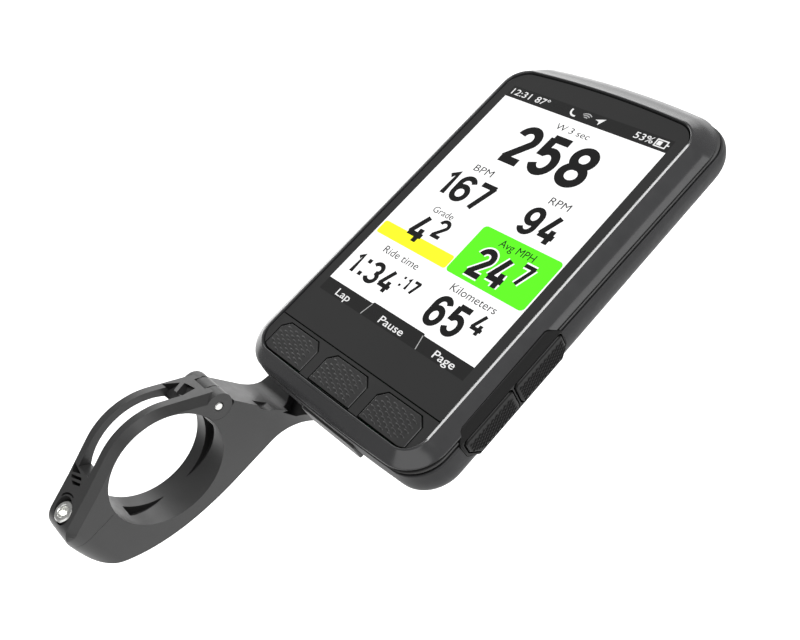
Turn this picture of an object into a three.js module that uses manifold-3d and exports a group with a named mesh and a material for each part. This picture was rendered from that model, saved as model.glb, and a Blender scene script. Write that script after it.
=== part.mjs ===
// Cycling computer on its offset out-front handlebar mount.
// Millimetres. The origin is on the handlebar's axis, in the middle of the clamp.
// +X points to the rider's right, +Y forward along the bicycle, +Z up out of the screen.
import * as THREE from 'three';
import { mergeVertices } from 'three/addons/utils/BufferGeometryUtils.js';
import Module from 'manifold-3d';

const wasm = await Module();
wasm.setup();

// ---------------------------------------------------------------- driving sizes
const GAP = 0.3;                                   // between pieces that touch
const BAR_RADIUS = 15.9;                           // 31.8 mm handlebar
const CLAMP_HALF = 6.6;                            // half the clamp's width along the bar
const STRAP_RADIUS = 18;                           // outside of the strap over the bar
const STRAP_BEVEL = 1.8;                           // bevel along the strap's two top edges
const PARTING_Z = 3;                               // strap's rear end rests here
const PIN = { y: 19.7, z: 2.6, radius: 1.2 };
const EAR_RADIUS = 3.8;
const TONGUE_HALF = 2.3;                           // arm's tongue between the strap's ears
const BOLT = { y: -23.3, headTop: 9.6, headRadius: 2.75, headHeight: 2.8, shankRadius: 1.5, tip: -3.4 };
const ARM_BASE = -21.2;                            // underside of the arm and platform
const ARM_TOP = -15.2;                             // top of the arm below the computer
const FLARE_RADIUS = 14;                           // where the arm's right edge turns out
const TWIST = { x: 30.5, y: 70, platform: 20, cup: 18, socket: 17.7, groove: 14.6, lug: 13.9, neck: 11.4 };
const LUG_HALF_ANGLE = 36;                         // degrees each side of the lug's middle
const LOCK = { bossEnd: -22.3, lugTop: -20.6 };    // heights of the boss, seen from the display
const SOCKET = { base: -19.5, lip: -16.7, top: -15.1, floor: -19.8 };

const SCREEN = { x: 30.5, y: 100, z: 3.6 };        // display centre, seen from the bar
const SEAM_TILT = 0.019;                           // case seam drops this much per mm forward
const SEAM_MIDDLE = -7;
const SEAM = { bezel: -3.7, case: -5.95 };         // heights where the bezel ends and the case begins
const LCD = { halfWidth: 26.75, low: -40, high: 40.2 };
const STRIP_EDGE = -51;                            // joint between cover glass and button strip
const KEY = { pitch: 19.25, halfWidth: 7.75, low: -61, high: -52.3, chamfer: 2, stemY: -56.6 };
const SIDE_KEYS = [{ low: -50, high: -34.5 }, { low: -33, high: -17 }];
const SIDE_STEM_Z = -8.5;
const POWER_KEY = { low: -42, high: -29, stemZ: -9 };
const COVER_HALF = 10.5;                           // half the port cover's width
const PORT = { half: 5, low: -12.9, high: -9.1 };  // charging hole in the case
const VENT = { x: 20, y: 30 };

// ---------------------------------------------------------------- materials
function finish(color, roughness, metalness = 0) {
  return new THREE.MeshStandardMaterial({ color, roughness, metalness });
}
const MATTE_BLACK = finish(0x474747, 0.6);
const BEZEL_BLACK = finish(0x505050, 0.45);
const GLASS_BLACK = finish(0x343434, 0.12);
const RUBBER = finish(0x2e2e2e, 0.85);
const DISPLAY_WHITE = finish(0xf4f4f2, 0.4);
const STEEL = finish(0xc8c8c8, 0.3, 1);
const BRASS = finish(0xb59a52, 0.35, 1);
const BOARD_GREEN = finish(0x1f5a3a, 0.6);
const CELL_SILVER = finish(0x9aa0a6, 0.4, 0.6);
const CERAMIC = finish(0xd9cfb8, 0.6);
const GASKET_GREY = finish(0x262626, 0.8);

// ---------------------------------------------------------------- shape helpers
const COARSE = 12;
const FINE = 40;

// A closed geometry as a solid for joining and cutting.
function solid(geometry) {
  const bare = geometry.index ? geometry.toNonIndexed() : geometry.clone();
  bare.deleteAttribute('normal');
  bare.deleteAttribute('uv');
  const merged = mergeVertices(bare, 1e-4);
  return new wasm.Manifold(new wasm.Mesh({
    numProp: 3,
    vertProperties: Float32Array.from(merged.attributes.position.array),
    triVerts: Uint32Array.from(merged.index.array),
  }));
}

// A solid back as a geometry that three.js can show.
function surface(body) {
  const mesh = body.getMesh();
  const geometry = new THREE.BufferGeometry();
  geometry.setAttribute('position', new THREE.BufferAttribute(mesh.vertProperties, 3));
  geometry.setIndex(new THREE.BufferAttribute(mesh.triVerts, 1));
  geometry.computeVertexNormals();
  return geometry;
}

function box(x0, x1, y0, y1, z0, z1) {
  const geometry = new THREE.BoxGeometry(x1 - x0, y1 - y0, z1 - z0);
  return solid(geometry.translate((x0 + x1) / 2, (y0 + y1) / 2, (z0 + z1) / 2));
}

// Round bar along Z.
function post(x, y, z0, z1, radius, sides = COARSE) {
  const geometry = new THREE.CylinderGeometry(radius, radius, z1 - z0, sides);
  return solid(geometry.rotateX(Math.PI / 2).translate(x, y, (z0 + z1) / 2));
}

// Round bar along X.
function rod(y, z, x0, x1, radius, sides = COARSE) {
  const geometry = new THREE.CylinderGeometry(radius, radius, x1 - x0, sides);
  return solid(geometry.rotateZ(Math.PI / 2).translate((x0 + x1) / 2, y, z));
}

// Plan outline raised from z0 to z1.
function prism(shape, z0, z1, curveSegments = 6) {
  const geometry = new THREE.ExtrudeGeometry(shape, { depth: z1 - z0, bevelEnabled: false, curveSegments });
  return solid(geometry.translate(0, 0, z0));
}

// Turns a shape drawn in X and Y into one in Y and Z that is carried along X.
const SIDEWAYS = new THREE.Matrix4().makeBasis(
  new THREE.Vector3(0, 1, 0), new THREE.Vector3(0, 0, 1), new THREE.Vector3(1, 0, 0));

// Side outline, drawn in Y and Z, carried from x0 to x1.
function profile(shape, x0, x1, curveSegments = 6) {
  const geometry = new THREE.ExtrudeGeometry(shape, { depth: x1 - x0, bevelEnabled: false, curveSegments });
  return solid(geometry.applyMatrix4(SIDEWAYS).translate(x0, 0, 0));
}

// Part of a disc, from one angle to another in degrees, raised from z0 to z1.
function sector(x, y, radius, from, to, z0, z1) {
  const shape = new THREE.Shape();
  shape.moveTo(x, y);
  shape.absarc(x, y, radius, THREE.MathUtils.degToRad(from), THREE.MathUtils.degToRad(to), false);
  shape.closePath();
  return prism(shape, z0, z1);
}

// ---------------------------------------------------------------- the case's plan outline
// A rectangle with round corners whose two ends bow out.
const CORNER_STEPS = 4;
const END_STEPS = 4;

function outline({ half, low, high, radius, lowRise = 1, highRise = 3 }) {
  const middle = (low + high) / 2;
  const corners = [
    [half - radius, high - radius, 0],
    [radius - half, high - radius, 90],
    [radius - half, low + radius, 180],
    [half - radius, low + radius, 270],
  ];
  const points = [];
  corners.forEach(([x, y, start], corner) => {
    for (let step = 0; step <= CORNER_STEPS; step += 1) {
      const angle = THREE.MathUtils.degToRad(start + 90 * step / CORNER_STEPS);
      points.push([x + radius * Math.cos(angle), y + radius * Math.sin(angle)]);
    }
    const endX = points.at(-1)[0];
    for (let step = 1; step < END_STEPS && corner % 2 === 0; step += 1) {
      points.push([endX * (1 - 2 * step / END_STEPS), points.at(-1)[1]]);
    }
  });
  return points.map(([x, y]) => {
    const bow = (x / half) ** 2;
    return [x, y > middle ? y - highRise * bow : y + lowRise * bow];
  });
}

// One ring of a shell: its outline at height z, on the tilted seam plane when tilt is 1.
function ring(level) {
  const tilt = level.tilt ?? 0;
  return outline(level).map(([x, y]) => [x, y, level.z - tilt * SEAM_TILT * (y - SEAM_MIDDLE)]);
}

// Rings joined in order: up the inside, down the outside. Ends close on each other or with caps.
function shell(levels, closed) {
  const rings = levels.map(ring);
  const count = rings[0].length;
  const points = rings.flat();
  const faces = [];
  const last = closed ? rings.length : rings.length - 1;
  for (let row = 0; row < last; row += 1) {
    const next = (row + 1) % rings.length;
    for (let column = 0; column < count; column += 1) {
      const after = (column + 1) % count;
      const a = row * count + column;
      const b = row * count + after;
      const c = next * count + after;
      const d = next * count + column;
      faces.push(a, d, c, a, c, b);
    }
  }
  if (!closed) {
    capRing(points, faces, rings[0], 0, false);
    capRing(points, faces, rings.at(-1), (rings.length - 1) * count, true);
  }
  const geometry = new THREE.BufferGeometry();
  geometry.setAttribute('position', new THREE.BufferAttribute(Float32Array.from(points.flat()), 3));
  geometry.setIndex(faces);
  return solid(geometry);
}

function capRing(points, faces, edge, first, facingDown) {
  const centre = points.length;
  const mean = axis => edge.reduce((sum, point) => sum + point[axis], 0) / edge.length;
  points.push([mean(0), mean(1), mean(2)]);
  edge.forEach((_, column) => {
    const here = first + column;
    const after = first + (column + 1) % edge.length;
    faces.push(centre, facingDown ? after : here, facingDown ? here : after);
  });
}

// A flat plate with the case's kind of outline.
function plate(level, z0, z1) {
  const shape = new THREE.Shape(outline(level).map(([x, y]) => new THREE.Vector2(x, y)));
  return prism(shape, z0, z1);
}

// ---------------------------------------------------------------- computer: outside
const GLASS = { half: 29.8, low: -61.35, high: 46.9, radius: 5.4, lowRise: 0.3, highRise: 1.7 };

function grown(level, by) {
  const { half, low, high, radius } = level;
  return { ...level, half: half + by, low: low - by, high: high + by, radius: radius + by };
}

function sideNotch() {
  return box(32.5, 40, -52.3, -15.7, -13.3, -1.1);
}

function powerNotch() {
  const { low, high, stemZ } = POWER_KEY;
  return box(-40, -31.5, low - GAP, high + GAP, stemZ - 2.3, stemZ + 2.3);
}

function frontBezel() {
  const inner = grown(GLASS, GAP);
  const body = shell([
    { ...inner, z: SEAM.bezel, tilt: 1 },
    { ...inner, z: 0.45 },
    { ...grown(GLASS, 0.6), z: 0.7 },
    { half: 31.1, low: -62.6, high: 48.2, radius: 6.6, lowRise: 0.4, highRise: 1.8, z: 0.7 },
    { half: 33.15, low: -64.7, high: 51.9, radius: 8, lowRise: 0.8, highRise: 1.7, z: -1.3, tilt: 0.5 },
    { half: 34.6, low: -66.1, high: 55, radius: 9, lowRise: 1.2, highRise: 1.6, z: SEAM.bezel, tilt: 1 },
  ], true);
  return body.subtract(sideNotch());
}

function coverGlass() {
  return plate(GLASS, -1.1, 0).intersect(box(-40, 40, STRIP_EDGE + GAP / 2, 60, -5, 5));
}

function keyOutline(centre, margin) {
  const half = KEY.halfWidth + margin;
  const low = KEY.low - margin;
  const high = KEY.high + margin;
  return new THREE.Shape([
    new THREE.Vector2(centre - half, low),
    new THREE.Vector2(centre + half, low),
    new THREE.Vector2(centre + half, high - KEY.chamfer),
    new THREE.Vector2(centre + half - KEY.chamfer, high),
    new THREE.Vector2(centre - half + KEY.chamfer, high),
    new THREE.Vector2(centre - half, high - KEY.chamfer),
  ]);
}

function keyCentre(index) {
  return (index - 1) * KEY.pitch;
}

function buttonStrip() {
  let body = plate(GLASS, -1.6, 0).intersect(box(-40, 40, -70, STRIP_EDGE - GAP / 2, -5, 5));
  for (let index = 0; index < 3; index += 1) {
    body = body.subtract(prism(keyOutline(keyCentre(index), GAP), -5, 5));
  }
  return body;
}

// Key cap with its stem; it is trimmed where the strip's corner is round.
function frontKey(index) {
  const cap = prism(keyOutline(keyCentre(index), 0), -1.6, 0.25).intersect(plate(grown(GLASS, -0.1), -5, 5));
  return cap.add(post(keyCentre(index), KEY.stemY, -2.8, -1.5, 2));
}

function caseGasket() {
  const inner = { half: 32.6, low: -63.6, high: 52, radius: 7.6, lowRise: 1.2, highRise: 1.6 };
  const outer = { half: 34.3, low: -65.8, high: 54.7, radius: 8.8, lowRise: 1.2, highRise: 1.6 };
  const top = SEAM.bezel - GAP;
  const bottom = SEAM.case + GAP;
  const body = shell([
    { ...inner, z: bottom, tilt: 1 },
    { ...inner, z: top, tilt: 1 },
    { ...outer, z: top, tilt: 1 },
    { ...grown(outer, 0.3), z: (top + bottom) / 2, tilt: 1 },
    { ...outer, z: bottom, tilt: 1 },
  ], true);
  return body.subtract(sideNotch());
}

const CASE_BACK = -18.4;
const CASE_FLOOR = -16.8;
const BOSS = { x: 0, y: -30, radius: 14 };         // twist boss seen from the display centre
const BOSS_SCREWS = [{ x: -6.5, y: -30 }, { x: 6.5, y: -30 }];
const CASE_SCREWS = [
  { x: -25.5, y: 43 },
  { x: 25.5, y: 43 },
  { x: -25.5, y: -55 },
  { x: 25.5, y: -55 },
];

function backCase() {
  const wall = { lowRise: 1.2, highRise: 1.6 };
  let body = shell([
    { ...wall, half: 29.5, low: -61, high: 48.1, radius: 6, z: CASE_FLOOR },
    { ...wall, half: 31.8, low: -63.6, high: 51.6, radius: 7.5, z: -14.5 },
    { ...wall, half: 33.1, low: -64.5, high: 53.6, radius: 8, z: -9 },
    { ...wall, half: 33.1, low: -64.5, high: 53.6, radius: 8, z: SEAM.case, tilt: 1 },
    { ...wall, half: 34.7, low: -66.1, high: 55.4, radius: 9, z: SEAM.case, tilt: 1 },
    { ...wall, half: 35, low: -66.2, high: 55.6, radius: 9, z: -8.5 },
    { ...wall, half: 34.6, low: -65.9, high: 55.3, radius: 9, z: -12 },
    { ...wall, half: 33.4, low: -65.2, high: 54.2, radius: 9.3, z: -14.5 },
    { ...wall, half: 31.2, low: -63.6, high: 52, radius: 8.4, z: -17 },
    { ...wall, half: 28.8, low: -61, high: 49.2, radius: 7, z: CASE_BACK },
  ], false);
  body = body.add(post(BOSS.x, BOSS.y, CASE_FLOOR - 0.5, CASE_FLOOR + 1.6, BOSS.radius + 2, 24));
  for (const screw of CASE_SCREWS) {
    body = body.add(post(screw.x, screw.y, CASE_FLOOR - 0.5, -6.9, 2.6));
  }
  body = body.subtract(sideNotch()).subtract(powerNotch());
  body = body.subtract(post(BOSS.x, BOSS.y, CASE_BACK - 1, CASE_BACK + 1.2, BOSS.radius + GAP, 24));
  for (const screw of BOSS_SCREWS) {
    body = body.subtract(post(screw.x, screw.y, CASE_BACK - 1, CASE_FLOOR + 3, 1.1));
  }
  for (const screw of CASE_SCREWS) {
    body = body.subtract(post(screw.x, screw.y, CASE_BACK - 1, -16, 2.4));
    body = body.subtract(post(screw.x, screw.y, -17, -6, 1.3));
  }
  body = body.subtract(post(VENT.x, VENT.y, CASE_BACK - 1, CASE_BACK + 0.8, 2.6));
  body = body.subtract(post(VENT.x, VENT.y, CASE_BACK - 1, CASE_FLOOR + 1, 0.6));
  body = body.subtract(portPocket(GAP));
  return body.subtract(box(-PORT.half, PORT.half, -70, -60, PORT.low, PORT.high));
}

function caseScrew({ x, y }) {
  return post(x, y, -18.1, -16.3, 2.1).add(post(x, y, -16.4, -7.4, 1));
}

function ventCap() {
  return post(VENT.x, VENT.y, CASE_BACK, CASE_BACK + 0.5, 2.3);
}

// ---------------------------------------------------------------- computer: keys on the sides
function sideSurround() {
  let body = box(33.2, 35.1, -52, -16, -13, -1.4);
  for (const key of SIDE_KEYS) {
    body = body.subtract(box(30, 40, key.low - GAP, key.high + GAP, -12.1, -4.9));
  }
  return body;
}

function sideKey({ low, high }) {
  const cap = box(33.6, 35.7, low, high, -11.8, -5.2);
  const middle = (low + high) / 2;
  return cap.add(rod(middle, SIDE_STEM_Z, 31.7, 33.8, 1.6));
}

function powerKey() {
  const { low, high, stemZ } = POWER_KEY;
  const cap = box(-35.5, -33.2, low, high, stemZ - 2, stemZ + 2);
  return cap.add(rod((low + high) / 2, stemZ, -33.4, -31.7, 1.4));
}

// ---------------------------------------------------------------- computer: charging port
function portPocket(margin) {
  return box(-COVER_HALF - margin, COVER_HALF + margin, -70, -65.6 + margin, -14.2 - margin, -7.6 + margin);
}

// Soft cover with a plug on its inner face that fits the port.
function portCover() {
  const flap = portPocket(0).intersect(box(-20, 20, -66.7, -60, -20, 0));
  return flap.add(box(-4, 4, -65.7, -64.9, -12, -10));
}

function usbConnector() {
  const half = PORT.half - GAP;
  const low = PORT.low + 0.2;
  const high = PORT.high - 0.2;
  const wall = 0.5;
  const can = box(-half, half, -63.6, -56.4, low, high);
  return can.subtract(box(wall - half, half - wall, -64, -57.4, low + wall, high - wall));
}

// ---------------------------------------------------------------- computer: inside
const BOARD_TOP = -6.3;
const BOARD_UNDER = -7.3;

function displayPanel() {
  return box(-LCD.halfWidth - 0.9, LCD.halfWidth + 0.9, LCD.low - 1.8, LCD.high + 1, -2.6, -1.4);
}

function midFrame() {
  const level = { ...grown(GLASS, -0.4), high: 46.4 };
  const tray = plate(level, -4.6, -2.9).intersect(box(-40, 40, -50, 60, -6, 0));
  return tray.subtract(box(-22, 22, -30, 30, -6, 0));
}

function mainBoard() {
  return box(-27, 27, -61, 38.5, BOARD_UNDER, BOARD_TOP)
    .subtract(post(-25.5, -55, -9, -4, 3.2))
    .subtract(post(25.5, -55, -9, -4, 3.2));
}

function frontSwitch(index) {
  const x = keyCentre(index);
  const body = box(x - 2.2, x + 2.2, KEY.stemY - 2.2, KEY.stemY + 2.2, BOARD_TOP + GAP, -4.2);
  return body.add(post(x, KEY.stemY, -4.3, -3.5, 1.3));
}

function sideSwitch(middle) {
  const body = box(28.4, 30.6, middle - 2.2, middle + 2.2, SIDE_STEM_Z - 1.9, SIDE_STEM_Z + 1.9);
  return body.add(rod(middle, SIDE_STEM_Z, 30.5, 31.2, 1.1));
}

function powerSwitch() {
  const middle = (POWER_KEY.low + POWER_KEY.high) / 2;
  const body = box(-30.6, -28.4, middle - 2.2, middle + 2.2, POWER_KEY.stemZ - 1.9, POWER_KEY.stemZ + 1.9);
  return body.add(rod(middle, POWER_KEY.stemZ, -31.2, -30.5, 1.1));
}

function battery() {
  return box(-24, 24, -46, 14, -14.7, BOARD_UNDER - GAP);
}

function shieldCan() {
  return box(-12, 12, 17, 36, -9.6, BOARD_UNDER - GAP);
}

function gnssAntenna() {
  return box(-12, 12, 44.5, 50.5, -9.5, -7);
}

function buzzer() {
  return post(-20, 27, -10.4, BOARD_UNDER - GAP, 4.6, 16);
}

function pressureSensor() {
  const half = 2.4;
  return box(VENT.x - half, VENT.x + half, VENT.y - half, VENT.y + half, -9.2, BOARD_UNDER - GAP);
}

// ---------------------------------------------------------------- twist lock
// Male boss: a neck with two lugs, held in a recess of the back case by two screws.
function twistBoss() {
  const { x, y } = BOSS;
  const half = LUG_HALF_ANGLE;
  let body = post(x, y, CASE_BACK, CASE_BACK + 0.9, BOSS.radius, 24);
  body = body.add(post(x, y, LOCK.bossEnd, CASE_BACK + 0.1, TWIST.neck, 24));
  for (const middle of [90, 270]) {
    body = body.add(sector(x, y, TWIST.lug, middle - half, middle + half, LOCK.bossEnd, LOCK.lugTop));
  }
  for (const screw of BOSS_SCREWS) {
    body = body.subtract(post(screw.x, screw.y, -23, -17, 1.1));
    body = body.subtract(post(screw.x, screw.y, -23, -20.4, 2.2));
  }
  return body;
}

function bossScrew({ x, y }) {
  return post(x, y, -22.1, -20.7, 1.9).add(post(x, y, -20.8, -15.6, 0.8));
}

const SOCKET_SCREWS = [{ x: TWIST.x + 16.1, y: TWIST.y }, { x: TWIST.x - 16.1, y: TWIST.y }];

// Female ring: lips hold the lugs at rest, and gaps at right angles to them let the lugs out.
function twistSocket() {
  const { x, y } = TWIST;
  const { base, lip, top } = SOCKET;
  let body = post(x, y, base, top, TWIST.socket, FINE);
  body = body.subtract(post(x, y, base - 1, lip, TWIST.groove, FINE));
  body = body.subtract(post(x, y, base - 1, top + 1, TWIST.neck + 0.5, FINE));
  const half = LUG_HALF_ANGLE + 4;
  for (const middle of [0, 180]) {
    body = body.subtract(sector(x, y, TWIST.groove, middle - half, middle + half, base - 1, top + 1));
  }
  for (const screw of SOCKET_SCREWS) {
    body = body.subtract(post(screw.x, screw.y, base - 1, lip, 0.9));
  }
  return body;
}

function socketScrew({ x, y }) {
  return post(x, y, ARM_BASE + 0.2, ARM_BASE + 1, 1.5).add(post(x, y, ARM_BASE + 0.9, -17.2, 0.6));
}

// ---------------------------------------------------------------- mount: arm with lower clamp
// Tangent line between the flare at the arm's root and the round platform.
function flareTangent() {
  const root = { x: CLAMP_HALF + FLARE_RADIUS, y: 23 };
  const dx = TWIST.x - root.x;
  const dy = TWIST.y - root.y;
  const angle = Math.atan2(dy, dx) - Math.asin((FLARE_RADIUS + TWIST.platform) / Math.hypot(dx, dy));
  return { root, angle };
}

// The clamp's rear end in plan, from its left side round to its right side.
function clampRear() {
  const corner = 5;
  const rear = -24;
  const shape = new THREE.Shape();
  shape.moveTo(-CLAMP_HALF, rear);
  shape.absarc(-CLAMP_HALF + corner, rear, corner, Math.PI, 1.5 * Math.PI, false);
  shape.absarc(CLAMP_HALF - corner, rear, corner, 1.5 * Math.PI, 2 * Math.PI, false);
  return shape;
}

function armPlan() {
  const { root, angle } = flareTangent();
  const leftTangent = THREE.MathUtils.degToRad(155);
  const shape = clampRear();
  shape.lineTo(CLAMP_HALF, root.y);
  shape.absarc(root.x, root.y, FLARE_RADIUS, Math.PI, angle + Math.PI / 2, true);
  shape.absarc(TWIST.x, TWIST.y, TWIST.platform, angle - Math.PI / 2, leftTangent, false);
  shape.lineTo(-2.4, 45.1);
  shape.quadraticCurveTo(-CLAMP_HALF, 36, -CLAMP_HALF, 26);
  shape.closePath();
  return shape;
}

function armProfile() {
  const forward = TWIST.y + TWIST.platform + 5;
  const shape = new THREE.Shape();
  shape.moveTo(-12, PARTING_Z - GAP);
  shape.lineTo(-28.6, PARTING_Z - GAP);
  shape.lineTo(-28.9, -1);
  shape.quadraticCurveTo(-28.4, -7.4, -24.6, -10.9);
  shape.quadraticCurveTo(-18.6, -16.2, -9.2, -18.9);
  shape.quadraticCurveTo(-0.6, ARM_BASE, 9.5, ARM_BASE);
  shape.lineTo(forward, ARM_BASE);
  shape.lineTo(forward, ARM_TOP);
  shape.lineTo(33.4, ARM_TOP);
  shape.quadraticCurveTo(30.6, -14.6, 28.2, -9.8);
  shape.lineTo(23.2, 0.8);
  shape.lineTo(14, PARTING_Z - GAP);
  shape.closePath();
  return shape;
}

// Cutter that lowers the arm's top along its right edge. It starts at x, y and runs 22 mm at an angle.
function edgeSlope(x, y, angle) {
  const lowered = ARM_TOP - 2.6;
  const clear = ARM_TOP + 1;
  const shape = new THREE.Shape([
    new THREE.Vector2(0.6, lowered),
    new THREE.Vector2(-8, lowered),
    new THREE.Vector2(-8, clear),
    new THREE.Vector2(3.1, clear),
  ]);
  const geometry = new THREE.ExtrudeGeometry(shape, { depth: 22, bevelEnabled: false });
  const turn = new THREE.Matrix4().makeBasis(
    new THREE.Vector3(-Math.sin(angle), Math.cos(angle), 0),
    new THREE.Vector3(0, 0, 1),
    new THREE.Vector3(Math.cos(angle), Math.sin(angle), 0));
  return solid(geometry.applyMatrix4(turn).translate(x, y, 0));
}

function mountArm() {
  const { root, angle } = flareTangent();
  let body = profile(armProfile(), -60, 70).intersect(prism(armPlan(), -40, 40, 16));
  body = body.add(rod(PIN.y, PIN.z, -TONGUE_HALF, TONGUE_HALF, EAR_RADIUS, 20));
  body = body.subtract(rod(0, 0, -20, 20, BAR_RADIUS, FINE));
  for (const side of [-1, 1]) {
    const inner = side * TONGUE_HALF;
    const outer = side * 20;
    const ear = rod(PIN.y, PIN.z, Math.min(inner, outer), Math.max(inner, outer), EAR_RADIUS + 0.4, 20);
    body = body.subtract(ear);
  }
  body = body.subtract(rod(PIN.y, PIN.z, -10, 10, PIN.radius + 0.1, COARSE));
  body = body.subtract(post(0, BOLT.y, -7, 10, BOLT.shankRadius + 0.7, 16));
  body = body.subtract(post(0, BOLT.y, -4.6, 1.9, 3.4, 6));
  const back = 6.5;
  const startX = root.x - FLARE_RADIUS * Math.sin(angle) - back * Math.cos(angle);
  const startY = root.y + FLARE_RADIUS * Math.cos(angle) - back * Math.sin(angle);
  body = body.subtract(edgeSlope(startX, startY, angle));
  body = body.subtract(post(TWIST.x, TWIST.y, SOCKET.floor, ARM_TOP + 1, TWIST.cup, FINE));
  for (const screw of SOCKET_SCREWS) {
    body = body.subtract(post(screw.x, screw.y, ARM_BASE - 1, -19, 0.9));
    body = body.subtract(post(screw.x, screw.y, ARM_BASE - 1, ARM_BASE + 1.1, 1.8));
  }
  return body;
}

function threadedInsert() {
  const body = post(0, BOLT.y, -4.3, 1.6, 3.1, 6);
  return body.subtract(post(0, BOLT.y, -6, 3, BOLT.shankRadius + 0.7, 16));
}

// ---------------------------------------------------------------- mount: strap, pin and bolt
// Side outline of the strap. It runs below the parting plane, where the block is trimmed.
function strapProfile() {
  const below = -8;
  const shape = new THREE.Shape();
  shape.moveTo(22.3, 5.3);
  shape.absarc(0, 0, STRAP_RADIUS, THREE.MathUtils.degToRad(52), THREE.MathUtils.degToRad(114), false);
  shape.lineTo(-16.5, 12.4);
  shape.lineTo(-24.4, 9.3);
  shape.quadraticCurveTo(-28.3, 7.9, -28.6, PARTING_Z);
  shape.lineTo(-28.6, below);
  shape.lineTo(24, below);
  shape.closePath();
  return shape;
}

// The strap's block, bevelled along both sides.
function strapBlock() {
  const geometry = new THREE.ExtrudeGeometry(strapProfile(), {
    depth: 2 * (CLAMP_HALF - STRAP_BEVEL),
    bevelEnabled: true,
    bevelThickness: STRAP_BEVEL,
    bevelSize: STRAP_BEVEL,
    bevelOffset: -STRAP_BEVEL,
    bevelSegments: 1,
    curveSegments: 12,
  });
  return solid(geometry.applyMatrix4(SIDEWAYS).translate(STRAP_BEVEL - CLAMP_HALF, 0, 0));
}

function strapPlan() {
  const front = 30;
  const shape = clampRear();
  shape.lineTo(CLAMP_HALF, front);
  shape.lineTo(-CLAMP_HALF, front);
  shape.closePath();
  return shape;
}

function clampStrap() {
  let body = strapBlock().intersect(prism(strapPlan(), -40, 40, 8));
  body = body.subtract(box(-20, 20, -60, 60, -40, PARTING_Z));
  body = body.add(rod(PIN.y, PIN.z, -CLAMP_HALF, CLAMP_HALF, EAR_RADIUS, 20));
  body = body.subtract(rod(0, 0, -20, 20, BAR_RADIUS, FINE));
  const half = TONGUE_HALF + GAP;
  body = body.subtract(rod(PIN.y, PIN.z, -half, half, EAR_RADIUS + 0.4, 20));
  body = body.subtract(rod(PIN.y, PIN.z, -10, 10, PIN.radius + 0.1, COARSE));
  body = body.subtract(strapWindow());
  body = body.subtract(post(0, BOLT.y, 0, 20, BOLT.shankRadius + 0.3, 16));
  return body.subtract(post(0, BOLT.y, 6.2, 20, BOLT.headRadius + 0.45, 20));
}

// Long opening between the strap's two rails.
function strapWindow() {
  const from = THREE.MathUtils.degToRad(30);
  const to = THREE.MathUtils.degToRad(145);
  const shape = new THREE.Shape();
  shape.absarc(0, 0, 30, from, to, false);
  shape.lineTo(0, 0);
  shape.closePath();
  return profile(shape, -2.6, 2.6, 10);
}

function hingePin() {
  return rod(PIN.y, PIN.z, -CLAMP_HALF, CLAMP_HALF, PIN.radius, COARSE);
}

function clampBolt() {
  const under = BOLT.headTop - BOLT.headHeight;
  let body = post(0, BOLT.y, under, BOLT.headTop, BOLT.headRadius, 20);
  body = body.add(post(0, BOLT.y, BOLT.tip, under + 0.1, BOLT.shankRadius, COARSE));
  return body.subtract(post(0, BOLT.y, BOLT.headTop - 1.6, BOLT.headTop + 1, 1.45, 6));
}

function boltWasher() {
  const top = BOLT.headTop - BOLT.headHeight - 0.1;
  const body = post(0, BOLT.y, top - 0.3, top, 2.9, 16);
  return body.subtract(post(0, BOLT.y, 0, 10, BOLT.shankRadius + 0.15, 16));
}

// ---------------------------------------------------------------- assembly
const computer = new THREE.Group();
computer.position.set(SCREEN.x, SCREEN.y, SCREEN.z);
const mount = new THREE.Group();

function place(group, name, body, material) {
  const mesh = new THREE.Mesh(surface(body), material);
  mesh.name = name;
  group.add(mesh);
}

place(computer, 'front_bezel', frontBezel(), BEZEL_BLACK);
place(computer, 'cover_glass', coverGlass(), GLASS_BLACK);
place(computer, 'button_strip', buttonStrip(), GLASS_BLACK);
['left', 'centre', 'right'].forEach((name, index) => {
  place(computer, `front_button_${name}`, frontKey(index), RUBBER);
  place(computer, `front_switch_${name}`, frontSwitch(index), STEEL);
});
place(computer, 'case_gasket', caseGasket(), GASKET_GREY);
place(computer, 'back_case', backCase(), MATTE_BLACK);
place(computer, 'side_button_surround', sideSurround(), RUBBER);
['lower', 'upper'].forEach((name, index) => {
  const key = SIDE_KEYS[index];
  place(computer, `side_button_${name}`, sideKey(key), RUBBER);
  place(computer, `side_switch_${name}`, sideSwitch((key.low + key.high) / 2), STEEL);
});
place(computer, 'power_button', powerKey(), RUBBER);
place(computer, 'power_switch', powerSwitch(), STEEL);
place(computer, 'port_cover', portCover(), RUBBER);
place(computer, 'usb_connector', usbConnector(), STEEL);
place(computer, 'display_panel', displayPanel(), DISPLAY_WHITE);
place(computer, 'mid_frame', midFrame(), MATTE_BLACK);
place(computer, 'main_board', mainBoard(), BOARD_GREEN);
place(computer, 'shield_can', shieldCan(), STEEL);
place(computer, 'battery', battery(), CELL_SILVER);
place(computer, 'gnss_antenna', gnssAntenna(), CERAMIC);
place(computer, 'buzzer', buzzer(), MATTE_BLACK);
place(computer, 'pressure_sensor', pressureSensor(), STEEL);
place(computer, 'vent_cap', ventCap(), GASKET_GREY);
place(computer, 'twist_boss', twistBoss(), MATTE_BLACK);
BOSS_SCREWS.forEach((screw, index) => {
  place(computer, `boss_screw_${index + 1}`, bossScrew(screw), STEEL);
});
CASE_SCREWS.forEach((screw, index) => {
  place(computer, `case_screw_${index + 1}`, caseScrew(screw), STEEL);
});

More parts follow.
